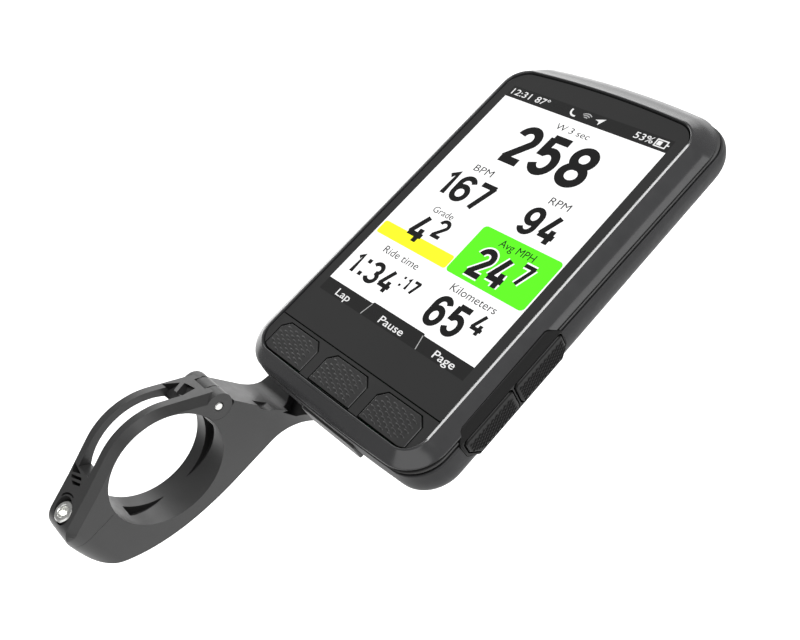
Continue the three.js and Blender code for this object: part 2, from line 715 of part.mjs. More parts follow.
place(mount, 'mount_arm', mountArm(), MATTE_BLACK);
place(mount, 'twist_socket', twistSocket(), MATTE_BLACK);
SOCKET_SCREWS.forEach((screw, index) => {
  place(mount, `socket_screw_${index + 1}`, socketScrew(screw), STEEL);
});
place(mount, 'threaded_insert', threadedInsert(), BRASS);
place(mount, 'clamp_strap', clampStrap(), MATTE_BLACK);
place(mount, 'hinge_pin', hingePin(), STEEL);
place(mount, 'clamp_bolt', clampBolt(), STEEL);
place(mount, 'bolt_washer', boltWasher(), STEEL);

const part = new THREE.Group();
part.add(computer, mount);

export default part;
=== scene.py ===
"""Looks of the cycling computer on its out-front mount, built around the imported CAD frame.

Lengths in the shape functions are millimetres. Computer pieces are drawn from the display's centre and
mount pieces from the handlebar's axis; make() turns both into metres in the row's frame.
"""
import math

import bmesh
import bpy
from mathutils import Matrix, Vector


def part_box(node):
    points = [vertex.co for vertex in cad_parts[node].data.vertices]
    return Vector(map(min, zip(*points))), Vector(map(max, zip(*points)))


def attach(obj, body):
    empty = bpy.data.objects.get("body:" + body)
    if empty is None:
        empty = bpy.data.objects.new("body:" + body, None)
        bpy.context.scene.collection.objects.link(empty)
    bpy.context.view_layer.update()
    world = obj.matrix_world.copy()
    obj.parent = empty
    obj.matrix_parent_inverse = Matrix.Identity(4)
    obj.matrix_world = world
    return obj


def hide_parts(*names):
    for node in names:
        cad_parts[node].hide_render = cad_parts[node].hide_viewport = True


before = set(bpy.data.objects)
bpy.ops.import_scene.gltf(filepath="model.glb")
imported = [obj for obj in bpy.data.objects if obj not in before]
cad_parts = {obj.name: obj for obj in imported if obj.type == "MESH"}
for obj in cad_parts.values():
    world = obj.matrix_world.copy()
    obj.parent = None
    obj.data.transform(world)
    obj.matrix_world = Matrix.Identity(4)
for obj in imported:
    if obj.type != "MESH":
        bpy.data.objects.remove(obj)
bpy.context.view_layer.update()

# ---- places taken from the frame
MM = 0.001
GLASS_LOW, GLASS_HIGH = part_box("cover_glass")
STRIP_EDGE = -51.0    # joint between glass and button strip, from the display's centre
GAP = 0.3
DISPLAY = Vector((
    (GLASS_LOW.x + GLASS_HIGH.x) / 2,
    GLASS_LOW.y - (STRIP_EDGE + GAP / 2) * MM,
    GLASS_HIGH.z,
))
BAR = Vector((0, 0, 0))
SOCKET_LOW, SOCKET_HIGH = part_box("twist_socket")
LOCK_X = (SOCKET_LOW.x + SOCKET_HIGH.x) / 2 / MM
LOCK_Y = (SOCKET_LOW.y + SOCKET_HIGH.y) / 2 / MM

# ---- driving sizes, as in the CAD
SEAM_TILT = 0.019
SEAM_MIDDLE = -7.0
KEY_PITCH = 19.25
KEY_HALF = 7.75
KEY_LOW = -61.0
KEY_HIGH = -52.3
CASE_BACK = -18.4
CASE_FLOOR = -16.8
BOSS_Y = LOCK_Y - DISPLAY.y / MM
BAR_RADIUS = 15.9
CLAMP_HALF = 6.6
STRAP_RADIUS = 18.0
STRAP_BEVEL = 1.8
PARTING_Z = 3.0
PIN_Y = 19.7
PIN_Z = 2.6
PIN_RADIUS = 1.2
EAR_RADIUS = 3.8
TONGUE_HALF = 2.3
BOLT_Y = -23.3
BOLT_TOP = 9.6
ARM_BASE = -21.2
ARM_TOP = -15.2
FLARE_RADIUS = 14.0
PLATFORM = 20.0
LOCK_SCREW = 16.1     # socket screws, to each side of the lock's axis
THREAD = 0.5


# ---- materials
def principled(name):
    material = bpy.data.materials.new(name)
    material.use_nodes = True
    tree = material.node_tree
    return material, tree, tree.nodes["Principled BSDF"]


def noise(tree, scale, detail=3.0, stretch=None):
    """Noise over the object's own coordinates; scale is per metre."""
    coordinates = tree.nodes.new("ShaderNodeTexCoord")
    texture = tree.nodes.new("ShaderNodeTexNoise")
    texture.inputs["Scale"].default_value = scale
    texture.inputs["Detail"].default_value = detail
    source = coordinates.outputs["Object"]
    if stretch:
        mapping = tree.nodes.new("ShaderNodeMapping")
        mapping.inputs["Scale"].default_value = stretch
        tree.links.new(source, mapping.inputs["Vector"])
        source = mapping.outputs["Vector"]
    tree.links.new(source, texture.inputs["Vector"])
    return texture.outputs["Fac"]


def spread(tree, source, low, high, target):
    """Noise remapped to a range of values and fed to a socket."""
    remap = tree.nodes.new("ShaderNodeMapRange")
    remap.inputs["From Min"].default_value = 0.3
    remap.inputs["From Max"].default_value = 0.7
    remap.inputs["To Min"].default_value = low
    remap.inputs["To Max"].default_value = high
    tree.links.new(source, remap.inputs["Value"])
    tree.links.new(remap.outputs["Result"], target)


def tint(tree, source, dark, light, target):
    ramp = tree.nodes.new("ShaderNodeValToRGB")
    ramp.color_ramp.elements[0].position = 0.3
    ramp.color_ramp.elements[0].color = (*dark, 1)
    ramp.color_ramp.elements[1].position = 0.7
    ramp.color_ramp.elements[1].color = (*light, 1)
    tree.links.new(source, ramp.inputs["Fac"])
    tree.links.new(ramp.outputs["Color"], target)


def bumps(tree, source, strength, depth, shader):
    bump = tree.nodes.new("ShaderNodeBump")
    bump.inputs["Strength"].default_value = strength
    bump.inputs["Distance"].default_value = depth * MM
    tree.links.new(source, bump.inputs["Height"])
    tree.links.new(bump.outputs["Normal"], shader.inputs["Normal"])


def grained(name, colour, roughness, grain=3500.0, strength=0.25, variation=0.06, level=0.5):
    """Moulded surface: fine grain, slow changes of tone and of gloss."""
    material, tree, shader = principled(name)
    broad = noise(tree, 60.0, 4.0)
    dark = tuple(c * (1 - variation) for c in colour)
    light = tuple(c * (1 + variation) for c in colour)
    tint(tree, broad, dark, light, shader.inputs["Base Color"])
    spread(tree, noise(tree, 350.0), roughness - 0.03, roughness + 0.03, shader.inputs["Roughness"])
    bumps(tree, noise(tree, grain, 2.0), strength, 0.02, shader)
    shader.inputs["Specular IOR Level"].default_value = level
    return material


def brushed(name, colour, roughness, stretch):
    """Metal with fine lines along one direction."""
    material, tree, shader = principled(name)
    lines = noise(tree, 900.0, 3.0, stretch)
    tint(tree, lines, tuple(c * 0.88 for c in colour), colour, shader.inputs["Base Color"])
    spread(tree, lines, roughness - 0.06, roughness + 0.08, shader.inputs["Roughness"])
    bumps(tree, lines, 0.25, 0.01, shader)
    shader.inputs["Metallic"].default_value = 1.0
    return material


def inked(name, colour, roughness=0.25, glow=0.0, level=0.1):
    """Ink or lit pixels under glass: even colour with the faint grid of a display."""
    material, tree, shader = principled(name)
    fine = noise(tree, 5000.0, 1.0)
    tint(tree, fine, tuple(c * 0.985 for c in colour), colour, shader.inputs["Base Color"])
    spread(tree, noise(tree, 120.0), roughness - 0.02, roughness + 0.02, shader.inputs["Roughness"])
    shader.inputs["Specular IOR Level"].default_value = level
    if glow:
        shader.inputs["Emission Color"].default_value = (*colour, 1)
        shader.inputs["Emission Strength"].default_value = glow
    return material


def board_finish():
    """Green solder mask over a faint pattern of tracks."""
    material, tree, shader = principled("solder_mask")
    tracks = tree.nodes.new("ShaderNodeTexBrick")
    tracks.inputs["Scale"].default_value = 420.0
    tracks.inputs["Mortar Size"].default_value = 0.03
    tracks.inputs["Color1"].default_value = (0.012, 0.1, 0.045, 1)
    tracks.inputs["Color2"].default_value = (0.015, 0.12, 0.055, 1)
    tracks.inputs["Mortar"].default_value = (0.03, 0.2, 0.09, 1)
    coordinates = tree.nodes.new("ShaderNodeTexCoord")
    tree.links.new(coordinates.outputs["Object"], tracks.inputs["Vector"])
    tree.links.new(tracks.outputs["Color"], shader.inputs["Base Color"])
    shader.inputs["Roughness"].default_value = 0.35
    return material


CASE = grained("case_plastic", (0.026, 0.026, 0.027), 0.5, level=0.14)
MOUNT = grained("mount_nylon", (0.02, 0.02, 0.02), 0.38, 2600.0, 0.12, level=0.45)
BEZEL = grained("bezel_plastic", (0.026, 0.026, 0.027), 0.2, 4200.0, 0.015, level=0.7)
GLASS = grained("cover_glass_black", (0.019, 0.019, 0.019), 0.1, 500.0, 0.008, 0.02)
STRIP = grained("strip_plastic", (0.019, 0.019, 0.019), 0.22, 4200.0, 0.05)
KEYS = grained("key_rubber", (0.017, 0.017, 0.017), 0.34, 3000.0, 0.15)
SIDE = grained("side_rubber", (0.005, 0.005, 0.005), 0.4, 3000.0, 0.3, level=0.15)
SEAL = grained("seal_rubber", (0.024, 0.024, 0.024), 0.5, 2500.0, 0.2)
STEEL = brushed("turned_steel", (0.72, 0.72, 0.7), 0.28, (1.0, 1.0, 12.0))
BRASS = brushed("turned_brass", (0.62, 0.45, 0.18), 0.3, (1.0, 1.0, 12.0))
SHIELD = brushed("pressed_steel", (0.6, 0.6, 0.6), 0.3, (14.0, 1.0, 1.0))
CELL = brushed("cell_foil", (0.5, 0.52, 0.55), 0.4, (1.0, 10.0, 1.0))
CERAMIC = grained("fired_ceramic", (0.65, 0.6, 0.48), 0.5, 2500.0, 0.3)
BOARD = board_finish()
WHITE = inked("page_white", (0.64, 0.64, 0.64), 0.25, 0.35)
GREEN = inked("page_green", (0.074, 0.58, 0.013), 0.25, 0.35)
YELLOW = inked("page_yellow", (0.64, 0.64, 0.018), 0.25, 0.35)
BLACK = inked("page_black", (0.011, 0.011, 0.011), 0.2)
GREY = inked("page_grey", (0.03, 0.03, 0.03), 0.2)
GREY_LIGHT = inked("page_faint", (0.3, 0.3, 0.3), 0.25, 0.1)
BAR_DARK = inked("page_bar", (0.013, 0.013, 0.013), 0.2, level=0.3)
LETTERS = inked("page_letters", (0.56, 0.56, 0.56), 0.25, 0.2)
DISPLAY_FINISH = inked("panel_white", (0.6, 0.6, 0.6), 0.4)


# ---- mesh helpers
def make(name, points, faces, origin):
    """New mesh object from points in millimetres around an origin."""
    mesh = bpy.data.meshes.new(name)
    mesh.from_pydata([origin + Vector(p) * MM for p in points], [], faces)
    mesh.validate()
    item = bpy.data.objects.new(name, mesh)
    bpy.context.scene.collection.objects.link(item)
    return item


def solid(name, points, faces, origin):
    """New closed object with its faces pointing out."""
    item = make(name, points, faces, origin)
    mesh = bmesh.new()
    mesh.from_mesh(item.data)
    bmesh.ops.recalc_face_normals(mesh, faces=mesh.faces)
    mesh.to_mesh(item.data)
    mesh.free()
    return item


def walls(rows, count, closed=False):
    """Faces between rings of points that follow one another, and from the last to the first if closed."""
    faces = []
    for row in range(rows if closed else rows - 1):
        here, ahead = row * count, (row + 1) % rows * count
        for side in range(count):
            after = (side + 1) % count
            faces.append((here + side, here + after, ahead + after, ahead + side))
    return faces


def caps(rows, count):
    """Faces that close the first and the last ring."""
    return [tuple(reversed(range(count))), tuple(range((rows - 1) * count, rows * count))]


def gather(shapes):
    """Points and faces of several shapes, as one list of each."""
    points, faces = [], []
    for some_points, some_faces in shapes:
        first = len(points)
        points += some_points
        faces += [tuple(first + index for index in face) for face in some_faces]
    return points, faces


def merged(item, other):
    """Puts another object's faces into this one."""
    mesh = bmesh.new()
    mesh.from_mesh(item.data)
    mesh.from_mesh(other.data)
    mesh.to_mesh(item.data)
    mesh.free()
    bpy.data.objects.remove(other)
    return item


def applied(item):
    """Bakes an object's modifiers into its mesh."""
    bpy.context.view_layer.update()
    graph = bpy.context.evaluated_depsgraph_get()
    mesh = bpy.data.meshes.new_from_object(item.evaluated_get(graph))
    item.modifiers.clear()
    item.data = mesh
    return item


def combine(item, other, operation):
    """Exact boolean; the other object is used up."""
    modifier = item.modifiers.new("bool", "BOOLEAN")
    modifier.operation = operation
    modifier.solver = "EXACT"
    modifier.object = other
    applied(item)
    bpy.data.objects.remove(other)
    return item


def cut(item, *others):
    for other in others:
        combine(item, other, "DIFFERENCE")
    return item


def join(item, other):
    return combine(item, other, "UNION")


def common(item, other):
    return combine(item, other, "INTERSECT")


def rounded(item, width, segments=3, angle=32.0):
    """Round every edge sharper than an angle."""
    clean = bmesh.new()
    clean.from_mesh(item.data)
    bmesh.ops.remove_doubles(clean, verts=clean.verts, dist=0.01 * MM)
    bmesh.ops.dissolve_limit(clean, angle_limit=math.radians(0.4), verts=clean.verts, edges=clean.edges)
    clean.to_mesh(item.data)
    clean.free()
    modifier = item.modifiers.new("bevel", "BEVEL")
    modifier.width = width * MM
    modifier.segments = segments
    modifier.limit_method = "ANGLE"
    modifier.angle_limit = math.radians(angle)
    return applied(item)


def finished(item, material, body, replaces=(), crease=30.0):
    mesh = item.data
    mesh.materials.clear()
    mesh.materials.append(material)
    mesh.shade_smooth()
    mesh.set_sharp_from_angle(angle=math.radians(crease))
    weighted = item.modifiers.new("normals", "WEIGHTED_NORMAL")
    weighted.keep_sharp = True
    applied(item)
    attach(item, body)
    if replaces:
        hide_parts(*replaces)


def prism(name, outline, low, high, origin, axis="z"):
    """A flat outline carried between two heights along an axis."""
    places = {
        "z": lambda a, b, h: (a, b, h),
        "x": lambda a, b, h: (h, a, b),
        "y": lambda a, b, h: (b, h, a),
    }[axis]
    points = [places(a, b, height) for height in (low, high) for a, b in outline]
    return solid(name, points, caps(2, len(outline)) + walls(2, len(outline)), origin)


def block(x0, x1, y0, y1, z0, z1, origin):
    return prism("block", [(x0, y0), (x1, y0), (x1, y1), (x0, y1)], z0, z1, origin)


def oval(cx, cy, rx, ry, start, end, steps=22):
    """Points on part of an ellipse, both ends included, angles in degrees."""
    points = []
    for step in range(steps + 1):
        angle = math.radians(start + (end - start) * step / steps)
        points.append((cx + rx * math.cos(angle), cy + ry * math.sin(angle)))
    return points


def arc(cx, cy, radius, start, end, steps):
    return oval(cx, cy, radius, radius, start, end, steps)


def bend(start, pull, end, steps=10):
    """Quadratic curve from start to end, without the start point."""
    points = []
    for step in range(1, steps + 1):
        t = step / steps
        points.append(tuple(
            (1 - t) ** 2 * a + 2 * t * (1 - t) * b + t ** 2 * c for a, b, c in zip(start, pull, end)
        ))
    return points


def disc(cx, cy, radius, low, high, origin, axis="z", sides=48):
    return prism("disc", arc(cx, cy, radius, 0, 360 * (1 - 1 / sides), sides - 1), low, high, origin, axis)


def turned(name, profile, cx, cy, origin, axis="z", sides=40):
    """Solid of revolution: (radius, height) pairs from one end of the axis to the other."""
    places = {"z": lambda u, v, h: (cx + u, cy + v, h), "x": lambda u, v, h: (h, cx + u, cy + v)}[axis]
    points = []
    for radius, height in profile:
        for side in range(sides):
            angle = 2 * math.pi * side / sides
            points.append(places(radius * math.cos(angle), radius * math.sin(angle), height))
    return solid(name, points, walls(len(profile), sides) + caps(len(profile), sides), origin)


# ---- the case's outline
CORNER_STEPS = 14
END_STEPS = 20


def outline(half, low, high, radius, low_rise=1.0, high_rise=3.0):
    """Rectangle with round corners and bowed ends."""
    middle = (low + high) / 2
    corners = [
        (half - radius, high - radius, 0),
        (radius - half, high - radius, 90),
        (radius - half, low + radius, 180),
        (half - radius, low + radius, 270),
    ]
    points = []
    for index, (x, y, start) in enumerate(corners):
        points += arc(x, y, radius, start, start + 90, CORNER_STEPS)
        end_x, end_y = points[-1]
        if index % 2 == 0:
            points += [(end_x * (1 - 2 * step / END_STEPS), end_y) for step in range(1, END_STEPS)]
    bowed = []
    for x, y in points:
        bow = (x / half) ** 2
        bowed.append((x, y - high_rise * bow if y > middle else y + low_rise * bow))
    return bowed


LEVEL_KEYS = ("half", "low", "high", "radius", "low_rise", "high_rise", "z", "tilt")


def level(half, low, high, radius, low_rise, high_rise, z, tilt=0.0):
    return dict(zip(LEVEL_KEYS, (half, low, high, radius, low_rise, high_rise, z, tilt)))


def grown(base, by, z, tilt=0.0):
    return level(
        base["half"] + by, base["low"] - by, base["high"] + by, base["radius"] + by,
        base["low_rise"], base["high_rise"], z, tilt,
    )


def level_outline(item):
    return outline(*(item[key] for key in LEVEL_KEYS[:6]))


def eased(levels, steps):
    """Levels joined by a smooth curve through each of them."""
    result = []
    last = len(levels) - 1
    for index in range(last):
        near = [levels[min(max(index + offset, 0), last)] for offset in (-1, 0, 1, 2)]
        for step in range(steps):
            t = step / steps
            mixed = {}
            for key in LEVEL_KEYS:
                a, b, c, d = (item[key] for item in near)
                curve = (2 * a - 5 * b + 4 * c - d) * t ** 2 + (3 * b - a - 3 * c + d) * t ** 3
                mixed[key] = 0.5 * (2 * b + (c - a) * t + curve)
            result.append(mixed)
    return result + [levels[-1]]


def loft(name, levels, closed):
    """Skin through the levels' outlines, closed on itself or with two ends."""
    points = []
    for item in levels:
        slope = item["tilt"] * SEAM_TILT
        points += [(x, y, item["z"] - slope * (y - SEAM_MIDDLE)) for x, y in level_outline(item)]
    rows = len(levels)
    count = len(points) // rows
    ends = [] if closed else caps(rows, count)
    return solid(name, points, walls(rows, count, closed) + ends, DISPLAY)


# ---- computer: shells
FACE = level(29.8, -61.35, 46.9, 5.4, 0.3, 1.7, 0.0)
SIDE_LOW = -52.0
SIDE_HIGH = -16.0
SURROUND_GAP = 0.12


def side_rim_outline(margin):
    """Side view of the surround of the two side keys: a long shape whose lower corners slant."""
    low, high = SIDE_LOW - margin, SIDE_HIGH + margin
    top, base = -1.9 + margin, -13.0 - margin
    return [
        (low + 3.2, base), (high - 2.8, base), (high - 0.2, -9.8), (high, -5.2), (high - 0.3, -4.1),
        (high - 2.5, top - 0.3), (high - 3.5, top), (low + 3.5, top), (low + 2.5, top - 0.3),
        (low + 0.3, -4.1), (low, -5.2), (low + 0.2, -9.4),
    ]


def side_notch():
    """Cutter for the opening that the side keys' surround sits in."""
    return prism("notch", side_rim_outline(SURROUND_GAP), 32.5, 40.0, DISPLAY, "x")


def front_bezel():
    """Ring around the face: a rounded lip with a chamfer, then a slope down to the seam."""
    inner = [grown(FACE, 0.24, -3.7, 1.0)]
    lip = eased([
        grown(FACE, 0.24, -0.05), grown(FACE, 0.28, 0.3), grown(FACE, 0.38, 0.55), grown(FACE, 0.52, 0.68),
    ], 2)
    chamfer = [grown(FACE, 0.56, 0.685), grown(FACE, 0.98, 0.48), grown(FACE, 1.0, 0.463)]
    slope = eased([
        grown(FACE, 1.1, 0.36),
        level(32.3, -63.8, 50.1, 8.0, 0.6, 2.0, -0.92, 0.3),
        level(33.55, -65.15, 52.4, 9.4, 0.9, 2.3, -2.2, 0.6),
        level(34.33, -65.9, 54.05, 10.0, 1.1, 2.55, -3.2, 0.9),
        level(34.58, -66.08, 54.68, 10.2, 1.2, 2.6, -3.6, 1.0),
    ], 4)
    end = [level(34.5, -66.0, 54.6, 10.1, 1.2, 2.6, -3.7, 1.0)]
    body = loft("bezel_shell", inner + lip + chamfer + slope + end, True)
    cut(body, side_notch())
    finished(body, BEZEL, "computer", ["front_bezel"], 40)


def face_plate(name, low, high, thickness):
    """The part of the flat face between two limits, as a closed plate."""
    plate = prism(name, level_outline(FACE), -thickness, 0.0, DISPLAY)
    return common(plate, block(-40, 40, low, high, -5, 5, DISPLAY))


def cover_glass():
    plate = face_plate("glass_face", STRIP_EDGE + GAP / 2, 60.0, 1.1)
    rounded(plate, 0.14, 2, 50)
    finished(plate, GLASS, "computer", ["cover_glass"])


def key_outline(centre, margin):
    half = KEY_HALF + margin
    low, high = KEY_LOW - margin, KEY_HIGH + margin
    chamfer = 2.2
    return [
        (centre - half, low), (centre + half, low), (centre + half, high - chamfer),
        (centre + half - chamfer, high), (centre - half + chamfer, high), (centre - half, high - chamfer),
    ]


def button_strip():
    plate = face_plate("strip_face", -70.0, STRIP_EDGE - GAP / 2, 1.6)
    for index in range(3):
        cut(plate, prism("window", key_outline((index - 1) * KEY_PITCH, GAP), -5, 5, DISPLAY))
    rounded(plate, 0.12, 2, 50)
    finished(plate, STRIP, "computer", ["button_strip"])


def scale(centre, half_long, half_wide, height, tilt, out):
    """Points and faces of one long low bump; out places its (along, across, up) in space."""
    rings = [(1.0, 0.0), (0.82, 0.45), (0.45, 0.85)]
    sides = 10
    points = []
    for size, rise in rings:
        for side in range(sides):
            angle = 2 * math.pi * side / sides
            u = size * half_long * math.cos(angle)
            v = size * half_wide * math.sin(angle)
            along = centre[0] + u * math.cos(tilt) - v * math.sin(tilt)
            across = centre[1] + u * math.sin(tilt) + v * math.cos(tilt)
            points.append(out(along, across, rise * height))
    points.append(out(centre[0], centre[1], height))
    last = (len(rings) - 1) * sides
    faces = walls(len(rings), sides)
    faces += [(last + side, last + (side + 1) % sides, last + sides) for side in range(sides)]
    faces.append(tuple(reversed(range(sides))))
    return points, faces


def scales(name, places, shape, out):
    """Many bumps as one mesh."""
    return solid(name, *gather(scale(centre, *shape, out) for centre in places), DISPLAY)


def lattice(low_a, high_a, low_b, high_b, pitch_a, pitch_b):
    """Rows of places, every other row moved by half a pitch."""
    places = []
    rows = int((high_b - low_b) / pitch_b) + 1
    for row in range(rows):
        b = low_b + row * pitch_b
        a = low_a + (pitch_a / 2 if row % 2 else 0)
        while a <= high_a + 1e-6:
            places.append((a, b))
            a += pitch_a
    return places


FRONT_KEYS = ("left", "centre", "right")
KEY_TOP = 0.05
KEY_SCALE = (0.95, 0.26, 0.19, math.radians(-10))


def front_key(index, name):
    centre = (index - 1) * KEY_PITCH
    cap = prism(f"key_{name}", key_outline(centre, 0), -1.6, KEY_TOP, DISPLAY)
    common(cap, prism("limit", level_outline(grown(FACE, -0.1, 0.0)), -5, 5, DISPLAY))
    rounded(cap, 0.2, 3, 40)
    # The bumps stay clear of the key's cut corners and of the face's round ones.
    places = [
        (a, b) for a, b in lattice(centre - 6.3, centre + 6.6, -60.0, -53.4, 2.9, 0.72)
        if abs(a - centre) + max(0.0, b + 54.9) < 6.6 and (abs(a) < 24.0 or b > -59.4)
    ]
    texture = scales("texture", places, KEY_SCALE, lambda a, b, h: (a, b, KEY_TOP - 0.02 + h))
    join(cap, disc(centre, -56.6, 2.0, -2.8, -1.5, DISPLAY))
    merged(cap, texture)
    finished(cap, KEYS, f"front_button_{name}", [f"front_button_{name}"], 35)


def case_gasket():
    inner = level(32.6, -63.6, 52.0, 7.6, 1.2, 1.6, 0.0, 1.0)
    outer = level(33.6, -65.1, 53.9, 8.2, 1.2, 2.2, 0.0, 1.0)
    bead = [
        (0.0, -4.05), (0.0, -4.66), (0.62, -4.72), (0.8, -4.82), (0.88, -4.95), (0.82, -5.08), (0.64, -5.16),
        (0.0, -5.22), (0.0, -5.6),
    ]
    levels = [grown(inner, 0, -5.6, 1.0), grown(inner, 0, -4.05, 1.0)]
    levels += [grown(outer, by, z, 1.0) for by, z in bead]
    body = loft("seam_seal", levels, True)
    cut(body, side_notch())
    finished(body, SEAL, "computer", ["case_gasket"], 40)


CASE_SCREWS = [(x, y) for y in (43.0, -55.0) for x in (-25.5, 25.5)]
VENT = (20.0, 30.0)
POWER_MIDDLE = -35.5
POWER_HALF = 6.5
POWER_Z = -9.0


def stadium(ca, cb, half_a, half_b):
    """Slot with round ends: half_a wide, half_b long."""
    straight = half_b - half_a
    return arc(ca, cb + straight, half_a, 0, 180, 12) + arc(ca, cb - straight, half_a, 180, 360, 12)


def power_outline(margin):
    return [(y, z) for z, y in stadium(POWER_Z, POWER_MIDDLE, 2.0 + margin, POWER_HALF + margin)]


def dimple(x, y, rim, depth):
    """Stepped round recess cut up into the case's back."""
    steps = [(0.6, -0.6), (0.2, 0.0), (0.0, 0.2), (0.0, depth)]
    profile = [(rim + wider, CASE_BACK + up) for wider, up in steps]
    return turned("dimple", profile, x, y, DISPLAY, sides=48)


def groove(y):
    """Grip groove across the case's back."""
    shape = [(b, a) for a, b in stadium(y, -4.0, 0.7, 12.0)]
    return prism("groove", shape, CASE_BACK - 1, CASE_BACK + 0.35, DISPLAY)


def back_case():
    wall = (1.2, 1.8)
    inside = [
        level(29.5, -61.0, 48.1, 6.0, *wall, CASE_FLOOR),
        level(31.8, -63.6, 51.6, 7.5, *wall, -14.5),
        level(33.1, -64.5, 53.6, 8.0, *wall, -9.0),
        level(33.1, -64.5, 53.6, 8.0, *wall, -6.0, 1.0),
        level(33.8, -65.2, 54.3, 8.4, *wall, -6.6, 1.0),
    ]
    shoulder = eased([
        level(34.3, -65.7, 54.8, 8.8, *wall, -5.95, 1.0),
        level(34.6, -66.0, 55.1, 9.0, *wall, -6.05, 1.0),
        level(34.72, -66.08, 55.22, 9.05, *wall, -6.4, 1.0),
    ], 3)
    outside = eased([
        shoulder[-1],
        level(35.0, -66.2, 55.6, 9.0, *wall, -8.9),
        level(34.7, -66.0, 55.4, 9.0, *wall, -11.8),
        level(33.5, -65.25, 54.3, 9.2, *wall, -14.4),
        level(31.5, -63.8, 52.2, 8.5, *wall, -16.9),
        level(30.2, -62.6, 50.8, 7.8, *wall, -17.9),
        level(28.6, -61.0, 49.1, 7.0, *wall, CASE_BACK),
    ], 5)
    body = loft("case_shell", inside + shoulder + outside[1:], False)
    cut(body, side_notch(), prism("notch", power_outline(GAP), -40, -31.5, DISPLAY, "x"))
    cut(body, dimple(0, BOSS_Y, 14.3, 1.2))
    cut(body, *(dimple(x, y, 2.4, 1.4) for x, y in CASE_SCREWS))
    cut(body, dimple(*VENT, 2.6, 0.8))
    cut(body, *(groove(6.0 + row * 4.0) for row in range(5)))
    cut(body, block(-10.8, 10.8, -70, -65.3, -14.5, -7.3, DISPLAY))
    cut(body, block(-5, 5, -70, -60, -12.9, -9.1, DISPLAY))
    finished(body, CASE, "computer", ["back_case"], 26)


# ---- computer: side keys and port
# Each side key's lower and upper end, and how far each end slants.
SIDE_KEYS = {"lower": (-50.8, -34.4, 2.4, 0.4), "upper": (-33.4, -16.7, 0.4, 2.0)}
KEY_FACE = 35.55


def side_outline(name, margin):
    """Side view of a key: a long rectangle whose outer ends slant."""
    low, high, rear, front = SIDE_KEYS[name]
    low, high = low - margin, high + margin
    top, base = -4.9 + margin, -12.1 - margin
    return [
        (low + rear, base), (high - front, base), (high, base + 0.5 + 1.2 * front), (high, top - 0.7),
        (high - 0.7, top), (low + 0.7, top), (low, top - 0.7), (low, base + 0.5 + 1.2 * rear),
    ]


def side_surround():
    body = prism("side_rim", side_rim_outline(0.0), 33.2, 35.0, DISPLAY, "x")
    slant = [(-5.2, 36.5), (-4.4, 35.0), (-1.6, 33.6), (1, 33.6), (1, 36.5)]
    cut(body, prism("slant", slant, -60, 0, DISPLAY, "y"))
    cut(body, *(prism("window", side_outline(name, GAP), 30, 40, DISPLAY, "x") for name in SIDE_KEYS))
    rounded(body, 0.25, 3, 40)
    finished(body, SIDE, "computer", ["side_button_surround"], 35)


def side_key(name):
    low, high, rear, front = SIDE_KEYS[name]
    body = prism(f"side_key_{name}", side_outline(name, 0.0), 33.6, KEY_FACE - 0.15, DISPLAY, "x")
    rounded(body, 0.5, 4, 40)
    # The bumps stay clear of the slanted ends.
    places = [
        (a, b) for a, b in lattice(low + 1.2, high - 1.0, -11.5, -6.6, 1.45, 0.58)
        if (a - low) * 0.9 + (b + 12.6) > rear + 1.25 and (high - a) * 0.9 + (b + 12.6) > front + 1.0
    ]
    bump = (0.6, 0.24, 0.26, math.radians(20))
    merged(body, scales("texture", places, bump, lambda a, b, h: (KEY_FACE - 0.17 + h, a, b)))
    merged(body, turned("stem", [(1.6, 31.7), (1.6, 33.8)], (low + high) / 2, -8.5, DISPLAY, "x", 24))
    finished(body, SIDE, f"side_button_{name}", [f"side_button_{name}"], 35)


def power_key():
    body = prism("power_key", power_outline(0), -35.5, -33.2, DISPLAY, "x")
    rounded(body, 0.45, 4, 40)
    places = [(POWER_MIDDLE + 2.4 * step, POWER_Z) for step in (-1.5, -0.5, 0.5, 1.5)]
    merged(body, scales("ribs", places, (0.35, 1.1, 0.15, 0.0), lambda a, b, h: (-35.3 - h, a, b)))
    merged(body, turned("stem", [(1.4, -33.4), (1.4, -31.7)], POWER_MIDDLE, POWER_Z, DISPLAY, "x", 24))
    finished(body, SIDE, "power_button", ["power_button"], 35)


def port_flap():
    """Soft cover with a pull tab and the plug on its inner face."""
    shape = [
        (-13.4, -10.5), (-14.2, -9.7), (-14.2, 9.7), (-13.4, 10.5), (-8.6, 10.5), (-7.6, 9.5), (-7.6, -9.5),
        (-8.6, -10.5),
    ]
    body = prism("port_flap", shape, -66.7, -65.6, DISPLAY, "y")
    rounded(body, 0.35, 3, 40)
    ribs = [(x, -8.6) for x in (-2.0, 0.0, 2.0)]
    merged(body, scales("ribs", ribs, (0.35, 0.5, 0.12, 0.0), lambda a, b, h: (a, -66.58 - h, b)))
    join(body, block(-4, 4, -65.7, -64.9, -12, -10, DISPLAY))
    finished(body, SEAL, "port_cover", ["port_cover"], 35)


# ---- computer and mount: lock, screws
LUG_HALF = 36.0
SLOT_HALF = 0.28      # half the width of a cross drive's slots


def pin_disc(radius, start, end, sides=48):
    """Disc about the hinge pin's axis."""
    return disc(PIN_Y, PIN_Z, radius, start, end, BAR, "x", sides)


def bolt_disc(radius, low, high, sides=48):
    """Disc about the clamp bolt's axis."""
    return disc(0, BOLT_Y, radius, low, high, BAR, sides=sides)


def lock_disc(radius, low, high, sides=48, beside=0.0):
    """Disc about the lock's axis, or beside it."""
    return disc(LOCK_X + beside, LOCK_Y, radius, low, high, BAR, sides=sides)


def sector(cx, cy, radius, middle, half, low, high, origin):
    """Pie slice to both sides of an angle in degrees."""
    shape = [(cx, cy)] + arc(cx, cy, radius, middle - half, middle + half, 20)
    return prism("sector", shape, low, high, origin)


